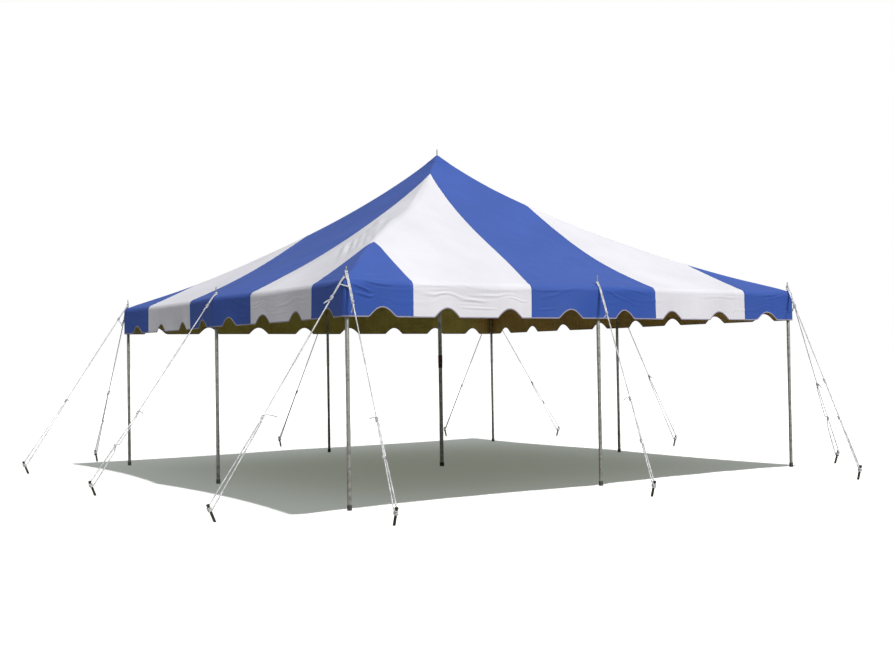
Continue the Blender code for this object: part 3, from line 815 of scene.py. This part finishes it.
def hem_binding(name, slot, legs, material):
    """A folded tape along the lowest row of a piece of canopy."""
    section = ((-0.0030, -0.0018), (-0.0016, 0.0010), (0.0085, 0.0010), (0.0095, 0.0),
               (0.0095, -0.0012), (0.0085, -0.0026), (-0.0016, -0.0026))
    tapes = []
    for grid, _ in legs:
        line = grid[-1]
        along = unit(np.gradient(line, axis=0))
        outward = unit(np.cross(along, grid[-2] - line))
        up = np.cross(outward, along)
        tapes.append(bridged(list(np.stack([line + a * up + c * outward
                                            for a, c in section], 1))))
    return add_piece(name, *joined(tapes), material, slot)


# Ropes


def steps_along(points):
    """Lengths along a path to each of its points."""
    gaps = np.linalg.norm(np.diff(points, axis=0), axis=1)
    return np.concatenate([[0], np.cumsum(gaps)])


def smooth_path(points, step):
    """Points at even steps along a path, with its corners eased."""
    points = np.array([tuple(p) for p in points], float)
    for _ in range(2):
        places = steps_along(points)
        even = np.linspace(0, places[-1], max(4, round(places[-1] / step)))
        points = np.stack([np.interp(even, places, points[:, i]) for i in range(3)], 1)
        for _ in range(2):
            points[1:-1] = (points[:-2] + 2 * points[1:-1] + points[2:]) / 4
    return points


def rope_tube(points, radius, lay):
    """Points, faces and UVs of a rope laid from three strands along a path."""
    tangents = unit(np.gradient(points, axis=0))
    steps = steps_along(points)
    normal = unit(np.cross(tangents[0], (0.31, 0.27, 0.91)))
    angles = np.arange(15) * 2 * math.pi / 15
    shape = 0.86 + 0.14 * np.abs(np.cos(1.5 * angles))
    ease = np.minimum(1.0, 0.45 + np.minimum(steps, steps[-1] - steps) / radius * 0.5)
    rings = []
    uv = []
    for place, tangent, step, share in zip(points, tangents, steps, ease):
        normal = unit(normal - tangent * np.dot(normal, tangent))
        turn = (angles + step / lay * 2 * math.pi)[:, None]
        section = np.cos(turn) * normal + np.sin(turn) * np.cross(tangent, normal)
        rings.append(place + (radius * shape * share)[:, None] * section)
        uv.append(np.stack([angles * radius, 0 * angles + step], -1))
    return *bridged(rings), np.concatenate(uv)


def winding(middle, axis, start, radius, turns, pitch):
    """Points of a rope wound round an axis, from a direction on."""
    axis = unit(axis)
    first = unit(start - axis * np.dot(start, axis))
    second = np.cross(axis, first) * math.copysign(1, turns)
    angles = np.linspace(0, 2 * math.pi * abs(turns), max(3, round(abs(turns) * 12)))
    return [middle + radius * (first * math.cos(a) + second * math.sin(a))
            + axis * pitch * a / (2 * math.pi) for a in angles]


def wrapped(middle, along, start, radius, turns):
    """Points of a rope wound close round itself, back along it."""
    return winding(middle, -along, start, KNOT_WRAP * radius, turns, KNOT_PITCH * radius)


def free_end(start, angle, slope, length):
    """A short free end that leaves on a compass angle and a slope, and droops a little."""
    angle = math.radians(angle)
    way = unit(np.array((math.cos(angle), math.sin(angle), slope)))
    return [start + way * length * t - np.array((0, 0, 0.2 * length * t * t))
            for t in (0.15, 0.35, 0.6, 0.8, 1.0)]


def pole_foot(pole):
    """Place of a side pole on the ground."""
    centre, _ = pole_shoulder("pole_" + pole, POLE_RADIUS)
    return np.array((centre[0], centre[1], 0.0))


def stake_line(stake, foot):
    """Foot and axis of a stake, from its solid and the foot of the pole it holds."""
    corners = np.array([v.co for v in bpy.data.objects["stake_" + stake].data.vertices])
    place = corners[corners[:, 2] < 1e-5].mean(axis=0)
    away = unit((place - foot) * (1, 1, 0))
    return place, away * math.sin(STAKE_LEAN) + np.array((0, 0, math.cos(STAKE_LEAN)))


def rope_run(pole, side, stake, level, eye, hitches, tails, radius):
    """Centre line of one guy rope, and the point and direction in which it leaves the eave.

    It begins at the free end by the eye's knot, goes up and round the pin, down to the
    stake and back up to its hitch, and ends at the free end there.
    """
    turn = turn_matrix(side)
    place, axis = stake_line(stake, pole)
    loop = place + axis * LOOP_PLACE
    here = turn.T @ pole
    there = turn.T @ loop
    centre, height, _ = shoulder_centre()
    clear = SHOULDER_RADIUS + radius + 0.0008
    out = -there[1] - centre
    drop = height - there[2]
    leave = math.pi / 2 + math.atan2(drop, out) - math.acos(clear / math.hypot(out, drop))

    def over(offset):
        """The turn over the shoulder, from the roof to where the rope leaves it."""
        made = []
        for angle in np.linspace(math.radians(34), leave, 5):
            r = centre + clear * math.sin(angle)
            share = (r + here[1]) / (here[1] - there[1])
            x = here[0] + (there[0] - here[0]) * share + offset
            made.append(turn @ np.array((x, -r, height + clear * math.cos(angle))))
        return made

    middle = over(0.0)[-1]
    down = unit(loop - middle)
    span = np.linalg.norm(loop - middle)
    across = unit(np.cross(down, axis))
    sideways = turn @ np.array((1.0, 0.0, 0.0))
    if np.dot(sideways, across) < 0:
        across = -across
    under = np.cross(down, across)
    if under[2] > 0:
        under = -under

    away = turn @ np.array((0.0, -1.0, 0.0))
    grip = PIN_RADIUS + radius + 0.0006
    top = np.array((pole[0], pole[1], level))
    spread = 1.05 * radius
    knot = middle + down * eye
    knot_turns = wrapped(knot + down * 0.016, down, across, radius, 2.6)
    path = free_end(knot_turns[0], *tails[0])[::-1] + knot_turns
    path.append(knot + across * spread - down * 0.03)
    path += over(spread)[::-1]
    start = math.atan2(sideways[1], sideways[0])
    toward = math.atan2(away[1], away[0])
    way = math.copysign(1, math.sin(start - toward))
    for i in range(19):
        a = start + way * 3 * math.pi * i / 18
        path.append(top + np.array((grip * math.cos(a), grip * math.sin(a),
                                    1.5 * KNOT_WRAP * radius * i / 18)))
    path += over(-spread)
    path += [knot - across * spread * 0.8 - down * 0.03, knot, knot + down * 0.05]

    tie = middle + down * span * hitches[0]
    path += [middle + down * span * (hitches[0] - 0.03), tie, tie + down * 0.05]
    grip = STAKE_RADIUS + radius + 0.0006
    high = loop + axis * 0.016
    beside = high - across * grip - down * 0.03
    around = winding(high, axis, -across, grip, 2.5, -2.2 * radius)
    if np.dot(around[3] - high, down) < 0:
        around = winding(high, axis, -across, grip, -2.5, -2.2 * radius)
    back = around[-1] - down * 0.05
    meeting = tie + down * 0.06 + (across + under) * 1.6 * radius
    path += [beside, *around, back]
    if hitches[1]:
        share = (hitches[1] - hitches[0]) / (1 - hitches[0])
        standing = tie + (beside - tie) * share
        path.append(back + (meeting - back) * (0.94 - share))
        path += wrapped(standing + down * 0.02, down, across, radius, 2.5)
        path.append(back + (meeting - back) * (1.06 - share))
    path.append(meeting)
    path += wrapped(tie + down * 0.03, down, across, radius, 3.5)
    path += free_end(path[-1], *tails[1])
    return smooth_path(path, 0.007), middle, down


# Settings that a user would change


def colour_setting(name, description, default):
    """A setting for a colour."""
    return FloatVectorProperty(name=name, description=description, subtype="COLOR", size=3,
                               min=0, max=1, default=default)


def length_setting(name, description, default, low, high):
    """A setting for a length in metres."""
    return FloatProperty(name=name, description=description, subtype="DISTANCE",
                         unit="LENGTH", default=default, min=low, max=high)


def light_setting(name, description, default):
    """A setting for a strength of light."""
    return FloatProperty(name=name, description=description, default=default, min=0)


class TentCanopySettings(bpy.types.PropertyGroup):
    blue: colour_setting("Blue", "Colour of the blue stripes", (0.037, 0.100, 0.428))
    white: colour_setting("White", "Colour of the white stripes", (0.82, 0.81, 0.85))
    lining: colour_setting("Underside", "Colour of the cloth's underside", (0.58, 0.51, 0.12))
    # Painted light: the colour the underside is painted towards +X, standing for light coming
    # through the cloth
    light_through_colour: colour_setting("Painted_light", "Colour of the underside where it has browned",
                             (0.68, 0.47, 0.14))
    binding: colour_setting("Binding", "Colour of the tape along the hem", (0.36, 0.34, 0.42))
    thickness: length_setting("Cloth thickness", "Thickness of the coated cloth",
                              0.0012, 0.0005, 0.003)
    fold_depth: length_setting("Fold depth", "How far a crease stands out of the cloth",
                               0.0065, 0.0, 0.012)
    fold_seed: IntProperty(
        name="Fold pattern", description="Number that picks the places of the creases",
        default=7, min=0)


class TentPoleSettings(bpy.types.PropertyGroup):
    steel: colour_setting("Steel", "Colour of the galvanised tubes", (0.43, 0.433, 0.39))
    rubber: colour_setting("Caps", "Colour of the caps on the feet", (0.045, 0.045, 0.04))
    sleeve: colour_setting("Sleeve", "Colour of the sleeve that joins the centre pole",
                           (0.085, 0.050, 0.030))


class TentRopeSettings(bpy.types.PropertyGroup):
    colour: colour_setting("Rope", "Colour of the guy ropes", (0.97, 0.97, 0.98))
    rope_diameter: length_setting("Rope diameter", "Thickness of the guy ropes",
                                  0.0136, 0.006, 0.016)
    lay: length_setting("Lay", "Length of one turn of a strand round the rope",
                        0.036, 0.02, 0.08)


class TentStakeSettings(bpy.types.PropertyGroup):
    steel: colour_setting("Stakes", "Colour of the forged stakes", (0.030, 0.030, 0.026))
    rust: colour_setting("Rust", "Colour of the rust on them", (0.055, 0.042, 0.022))


class TentStageSettings(bpy.types.PropertyGroup):
    key: light_setting("Key light", "Strength of the light on the tent", 2.28)
    overhead: light_setting("Overhead light", "Strength of the light on the floor", 8.0)
    fill: light_setting("Fill light", "Strength of the light from all round", 0.20)
    sky: light_setting("Sky light", "Strength of the light added straight overhead", 0.75)
    floor: colour_setting("Floor", "Colour of the floor", (0.42, 0.42, 0.42))
    glow: colour_setting("Floor glow", "Light added to the floor as the camera sees it",
                         (0.142, 0.159, 0.133))


# Operators, one for each group of pieces


class TENT_OT_canopy(bpy.types.Operator):
    """Make the striped canopy with its valance, hem tape and peak patch"""

    bl_idname = "tent.canopy"
    bl_label = "Canopy"

    def execute(self, context):
        settings = context.scene.tent_canopy
        rows = canopy_rows()
        creases = make_creases(settings)
        peak_gap = -rows[0, 3]
        # The underside gets painted light through the cloth towards +X
        lining = coated_cloth("underside", settings.lining, (0.16, 0.10, 0.04), 0.5, 0.75,
                              settings.light_through_colour)
        dirt = (0.30, 0.27, 0.24)
        blue = coated_cloth("blue cloth", settings.blue, (0.10, 0.12, 0.20), 0.15, 0.52)
        white = coated_cloth("white cloth", settings.white, dirt, 0.08, 0.52)
        tape = coated_cloth("hem tape", settings.binding, dirt, 0.3, 0.6)

        def add(name, node, slot, legs, cloth, rests_on):
            """Make a stretched sheet with its hem tape."""
            sheet, area = cloth_piece(name, node, slot, legs, (cloth, lining),
                                      settings.thickness)
            hem = hem_binding("hem_" + name[6:], slot, legs, tape)
            flat_size(legs, peak_gap)

        for number, side in enumerate(SIDES):
            start, end = CORNERS[number], CORNERS[(number + 1) % 4]
            tips = TIPS[start][0], TIPS[end][0]
            legs = [wing(side, lambda r: -stripe_seam(r, tips[0]),
                         lambda r: stripe_seam(r, tips[1]), rows, creases, settings,
                         ("lap", "lap"), tips)]
            add("cloth_" + side, f"canopy_{side}_blue", "blue_vinyl", legs, blue,
                [f"pole_{side}_middle", f"pole_{start}", f"pole_{end}"])
        for number, corner in enumerate(CORNERS):
            tip, corner_tip = TIPS[corner]

            def inner(reach):
                return stripe_seam(reach, tip)

            def outer(reach):
                return corner_seam(reach, corner_tip)

            for colour, cloth, edge, start, low, high in (
                    ("white", white, "seam", tip, inner, lambda r: np.minimum(r, outer(r))),
                    ("blue", blue, "lap", corner_tip, outer, lambda r: r)):
                part = rows[rows[:, 0] >= start - 1e-6]
                legs = [wing(SIDES[number - 1], low, high, part, creases, settings,
                             (edge, "hip"), (start, 0.0)),
                        wing(SIDES[number], lambda r: -high(r), lambda r: -low(r), part,
                             creases, settings, ("hip", edge), (0.0, start))]
                add(f"cloth_{corner}_{colour}", f"canopy_{corner}_{colour}",
                    colour + "_vinyl", legs, cloth, ["pole_" + corner])

        near = rows[rows[:, 0] <= PEAK_PATCH + 1e-6]
        reaches = np.linspace(near[0, 0], near[-1, 0], 7)
        part = np.stack([np.interp(reaches, near[:, 0], near[:, i]) for i in range(5)], 1)
        rise = np.linspace(0.0026, 0.0014, 7)[:, None]
        x = part[:, :1] * np.linspace(-1, 1, 25)
        flat = np.stack([x, 0 * x + part[:, 3:4]], -1)
        legs = [(canopy_points(side, x, part, creases, settings, rise), flat)
                for side in SIDES]
        patch, area = cloth_piece("cloth_peak_patch", "canopy_peak_patch", "blue_vinyl", legs,
                                  (blue, lining), settings.thickness)
        return {"FINISHED"}


def tube_profile(radius, foot, top, pin_radius, tip):
    """Section of a tube with an end plug, a washer and a pin that stands out of it."""
    wall = 0.002
    return [(radius - wall, foot + 0.001), (radius - 0.0006, foot), (radius, foot + 0.0008),
            (radius, top - 0.006), (radius - 0.0008, top - 0.0045), (radius - 0.0035, top - 0.003),
            (radius - 0.005, top - 0.0008), (pin_radius * 1.9, top), (pin_radius * 1.9, top),
            (pin_radius * 1.8, top + 0.0006), (pin_radius, top + 0.0009),
            (pin_radius, tip - 0.014), (pin_radius * 0.93, tip - 0.009),
            (pin_radius * 0.7, tip - 0.003), (pin_radius * 0.3, tip)]


def pole_shoulder(node, radius):
    """Centre of a pole's solid, and the height at which it ends and its pin begins."""
    points = np.array([v.co for v in bpy.data.objects[node].data.vertices])
    centre = (points.min(axis=0) + points.max(axis=0)) / 2
    wide = np.hypot(points[:, 0] - centre[0], points[:, 1] - centre[1]) > radius * 0.7
    return centre, float(points[wide, 2].max())


def foot_profile(inside):
    """Section of a ribbed rubber cap with a rounded rim and a rounded foot."""
    height = CAP_HEIGHT
    outside = inside + 0.0042
    ribs = []
    z = 0.006
    while z < height - 0.012:
        ribs += [(outside - 0.0012, z), (outside, z + 0.0012), (outside, z + 0.0042),
                 (outside - 0.0012, z + 0.0054)]
        z += 0.0078
    return ([(0.0, 0.0), (outside - 0.0022, 0.0), (outside - 0.0004, 0.0012)] + ribs
            + [(outside - 0.0006, height - 0.004), (outside - 0.0012, height - 0.0012),
               (outside - 0.0022, height), (inside + 0.0004, height),
               (inside, height - 0.0012), (inside, 0.0065), (0.0, 0.0065)])


def lathe(name, profile, place, material, slot, node, sides=32, closed=False):
    """Make a turned piece on an upright axis that stands for a solid."""
    points, faces = turned(profile, sides, closed)
    add_piece(name, points + place, faces, material, slot, [node])


class TENT_OT_side_poles(bpy.types.Operator):
    """Make the eight side poles with their pins and foot caps"""

    bl_idname = "tent.side_poles"
    bl_label = "Side poles"

    def execute(self, context):
        settings = context.scene.tent_poles
        steel = zinc_steel("pole steel", settings.steel, 0.009)
        rubber = cap_rubber("cap rubber", settings.rubber)
        for place in CORNERS + tuple(side + "_middle" for side in SIDES):
            _, top = pole_shoulder("pole_" + place, POLE_RADIUS)
            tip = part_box("pole_" + place)[1][2]
            foot = pole_foot(place)
            lathe("tube_" + place, tube_profile(POLE_RADIUS, 0.0068, top, PIN_RADIUS, tip),
                  foot, steel, "pole_steel", "pole_" + place)
            lathe("cap_" + place, foot_profile(POLE_RADIUS + 0.0003), foot, rubber,
                  "cap_rubber", "foot_" + place)
        return {"FINISHED"}


class TENT_OT_centre_pole(bpy.types.Operator):
    """Make the centre pole from its two lengths, their sleeve and its foot cap"""

    bl_idname = "tent.centre_pole"
    bl_label = "Centre pole"

    def execute(self, context):
        steel = bpy.data.materials["pole steel"]
        dark = rusty_steel("sleeve steel", context.scene.tent_poles.sleeve, (0.12, 0.06, 0.03))
        radius = CENTRE_POLE_RADIUS
        (_, _, low), (_, _, high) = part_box("centre_pole_lower")
        lower = [(radius - 0.002, low + 0.001), (radius, low), (radius, high - 0.001),
                 (radius - 0.002, high)]
        (_, _, low), (_, _, high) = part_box("centre_pole_upper")
        _, top = pole_shoulder("centre_pole_upper", radius)
        upper = tube_profile(radius, low, top, CENTRE_PIN_RADIUS, high)
        (_, _, low), (_, _, high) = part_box("centre_pole_sleeve")
        inside = radius + 0.0004
        outside = inside + 0.0028
        sleeve = [(inside, low), (inside, high), (outside - 0.001, high),
                  (outside, high - 0.0012), (outside, high - 0.012),
                  (outside - 0.0006, high - 0.013), (outside - 0.0006, low + 0.013),
                  (outside, low + 0.012), (outside, low + 0.0012), (outside - 0.001, low)]
        for name, profile, material, slot, node, closed in (
                ("tube_centre_lower", lower, steel, "pole_steel", "centre_pole_lower", False),
                ("tube_centre_upper", upper, steel, "pole_steel", "centre_pole_upper", False),
                ("cap_centre", foot_profile(radius + 0.0003),
                 bpy.data.materials["cap rubber"], "cap_rubber", "foot_centre", False),
                ("joint_sleeve", sleeve, dark, "pole_steel", "centre_pole_sleeve", True)):
            lathe(name, profile, (0, 0, 0), material, slot, node, 40, closed)
        return {"FINISHED"}


class TENT_OT_guy_ropes(bpy.types.Operator):
    """Make the twelve guy ropes with their eyes, hitches and free ends"""

    bl_idname = "tent.guy_ropes"
    bl_label = "Guy ropes"

    def execute(self, context):
        settings = context.scene.tent_ropes
        material = laid_rope("guy rope", settings.colour)
        radius = settings.rope_diameter / 2

        def add(name, pole, path):
            """Make a rope along a path."""
            points, faces, uv = rope_tube(path, radius, settings.lay)
            add_piece("line_" + name, points, faces, material, "rope", ["guy_rope_" + pole],
                      uv, crease=60)

        done = {}
        beside = HALF - PIN_RADIUS - 2 * radius
        for stake, side, eye, hitch, second, *tails in ROPES:
            pole = stake.rstrip("_12")
            others = done.setdefault(pole, [])
            level = float(roof_height(beside)) + (1 + 3.6 * len(others)) * radius + 0.001
            if pole == "front_left":
                level += float(hip_rise(beside))
            path, middle, down = rope_run(pole_foot(pole), side, stake, level, eye,
                                          (hitch, second), tails, radius)
            others.append(middle + down * (0.04 + 0.03 * len(others)))
            add(f"{pole}_{len(others)}", pole, path)
        first, second = done["front_left"]
        reach = second - first
        add("front_left_strap", "front_left", smooth_path(
            [first - reach * 0.12, first, second, second + reach * 0.12], 0.006))
        return {"FINISHED"}


class TENT_OT_stakes(bpy.types.Operator):
    """Make the twelve steel stakes with their beaten heads"""

    bl_idname = "tent.stakes"
    bl_label = "Stakes"

    def execute(self, context):
        settings = context.scene.tent_stakes
        steel = rusty_steel("stake steel", settings.steel, settings.rust)
        dice = random.Random(11)
        r = STAKE_RADIUS
        profile = ((r, 0.0), (r, 0.13), (r * 1.01, 0.147), (r * 1.12, 0.154),
                   (r * 1.28, 0.159), (r * 1.33, 0.163), (r * 1.22, 0.1675),
                   (r * 0.9, 0.1697), (r * 0.4, 0.170))
        sides = 24
        angles = np.arange(sides)[:, None] * 2 * math.pi / sides
        for stake, *_ in ROPES:
            foot, axis = stake_line(stake, pole_foot(stake.rstrip("_12")))
            level = unit(np.cross((0, 0, 1), axis))
            section = np.cos(angles) * level + np.sin(angles) * np.cross(axis, level)
            uneven = np.array([[dice.uniform(-1, 1)] for _ in range(sides)])
            uneven = (uneven + np.roll(uneven, 1) + np.roll(uneven, -1)) / 3
            rings = []
            for radius, along in profile:
                beaten = 1 + 0.09 * uneven * smooth(along, 0.15, 0.163)
                rings.append(foot + axis * along + radius * beaten * section)
            rings[0] -= axis * (rings[0][:, 2:] / axis[2])
            add_piece("peg_" + stake, *bridged(rings), steel, "stake_steel",
                      ["stake_" + stake])
        return {"FINISHED"}


def add_light(name, kind, lit, shading):
    """Add a light that shines on some pieces, and is shaded by some, alone."""
    lamp = bpy.data.lights.new(name, kind)
    lamp.color = LIGHT_TINT
    light = add_object(name, lamp)
    for role, pieces in (("receiver", lit), ("blocker", shading)):
        held = bpy.data.collections.new(f"{name} {role}s")
        for piece in pieces:
            held.objects.link(piece)
        setattr(light.light_linking, role + "_collection", held)
    return light, lamp


class TENT_OT_stage(bpy.types.Operator):
    """Make the floor, the lights and the camera"""

    bl_idname = "tent.stage"
    bl_label = "Stage"

    def execute(self, context):
        settings = context.scene.tent_stage
        scene = context.scene
        paint, tree, shader, _, place = new_finish("floor paint", 0.95)
        pale = [c * FLOOR_PALE for c in settings.floor]
        colour = mixed(tree, noise(tree, place, 0.7), settings.floor, pale)
        rays = add_node(tree, "ShaderNodeLightPath").outputs["Is Camera Ray"]
        dark = [c * FLOOR_UNSEEN for c in settings.floor]
        tree.links.new(mixed(tree, rays, dark, colour), shader.inputs["Base Color"])
        distance = add_node(tree, "ShaderNodeVectorMath", {0: place}, operation="LENGTH")
        away = mapped(tree, distance.outputs["Value"], *FLOOR_WHITENS)
        glow = mixed(tree, rays, (0, 0, 0), mixed(tree, away, settings.glow, (1, 1, 1)))
        tree.links.new(glow, shader.inputs["Emission Color"])
        shader.inputs["Emission Strength"].default_value = 1.0
        points, faces = turned([(r, -0.0005) for r in (300.0, 60.0, 15.0, 3.0)], 96)
        del faces[-2]       # the cap over the widest ring
        floor = add_mesh("floor", points, faces, paint)

        world = bpy.data.worlds.new("studio")
        scene.world = world
        world.use_nodes = True
        tree = world.node_tree
        tree.nodes.clear()
        seen = add_node(tree, "ShaderNodeBackground", {0: (1, 1, 1, 1), 1: 1.0})
        place = add_node(tree, "ShaderNodeTexCoord").outputs["Generated"]
        upward = split(tree, place)[2]
        squared = add_maths(tree, "MULTIPLY", upward, add_maths(tree, "MAXIMUM", upward, 0.0))
        strength = add_maths(tree, "MULTIPLY_ADD", squared, settings.sky, settings.fill)
        fill = add_node(tree, "ShaderNodeBackground", {0: SKY_TINT, 1: strength})
        rays = add_node(tree, "ShaderNodeLightPath").outputs["Is Camera Ray"]
        both = add_node(tree, "ShaderNodeMixShader", {0: rays, 1: fill.outputs[0],
                                                      2: seen.outputs[0]})
        add_node(tree, "ShaderNodeOutputWorld", {0: both.outputs[0]})

        tent = [piece for piece in scene.collection.objects
                if piece.type == "MESH" and piece != floor]
        cloth = [piece for piece in tent if piece.name.startswith("cloth")]
        light, lamp = add_light("key light", "SUN", tent, tent)
        lamp.energy = settings.key
        lamp.angle = math.radians(KEY_SPREAD)
        light.rotation_euler = Vector(KEY_AIM).to_track_quat("-Z", "Y").to_euler()
        light, lamp = add_light("overhead light", "POINT", [floor], cloth)
        light.location = OVERHEAD_PLACE
        lamp.energy = settings.overhead * 4 * math.pi * OVERHEAD_PLACE[2] ** 2
        lamp.shadow_soft_size = 0.35

        lens = bpy.data.cameras.new("camera")
        lens.lens = FOCAL_LENGTH
        lens.sensor_width = 36.0
        lens.clip_end = 1000.0
        camera = add_object("camera", lens)
        yaw, pitch, roll = (math.radians(angle) for angle in CAMERA_ANGLES)
        camera.matrix_world = (Matrix.Translation(CAMERA_PLACE)
                               @ Matrix.Rotation(yaw - math.pi / 2, 4, "Z")
                               @ Matrix.Rotation(pitch + math.pi / 2, 4, "X")
                               @ Matrix.Rotation(roll, 4, "Z"))
        scene.camera = camera
        scene.view_settings.view_transform = "Standard"
        return {"FINISHED"}


class TENT_PT_panel(bpy.types.Panel):
    """Settings and operators of the tent, group by group"""

    bl_label = "Square pole tent"
    bl_idname = "TENT_PT_panel"
    bl_space_type = "VIEW_3D"
    bl_region_type = "UI"
    bl_category = "Tent"

    def draw(self, context):
        for settings, operators in PANEL_ROWS:
            box = self.layout.box()
            group = getattr(context.scene, settings)
            for name in group.__annotations__:
                box.prop(group, name)
            for operator in operators:
                box.operator(operator.bl_idname)


SETTINGS = {"tent_canopy": TentCanopySettings, "tent_poles": TentPoleSettings,
            "tent_ropes": TentRopeSettings, "tent_stakes": TentStakeSettings,
            "tent_stage": TentStageSettings}
PANEL_ROWS = (("tent_canopy", (TENT_OT_canopy,)),
              ("tent_poles", (TENT_OT_side_poles, TENT_OT_centre_pole)),
              ("tent_ropes", (TENT_OT_guy_ropes,)),
              ("tent_stakes", (TENT_OT_stakes,)),
              ("tent_stage", (TENT_OT_stage,)))
OPERATORS = tuple(operator for _, operators in PANEL_ROWS for operator in operators)
CLASSES = (*SETTINGS.values(), *OPERATORS, TENT_PT_panel)


def register():
    """Add the settings, the operators and the panel."""
    for item in CLASSES:
        bpy.utils.register_class(item)
    for name, group in SETTINGS.items():
        setattr(bpy.types.Scene, name, PointerProperty(type=group))


def unregister():
    """Take them away again."""
    for name in SETTINGS:
        delattr(bpy.types.Scene, name)
    for item in reversed(CLASSES):
        bpy.utils.unregister_class(item)


def main():
    """Make the tent and its stage."""
    register()
    bpy.ops.tent.canopy()
    bpy.ops.tent.side_poles()
    bpy.ops.tent.centre_pole()
    bpy.ops.tent.guy_ropes()
    bpy.ops.tent.stakes()
    bpy.ops.tent.stage()


if __name__ == "__main__":
    main()
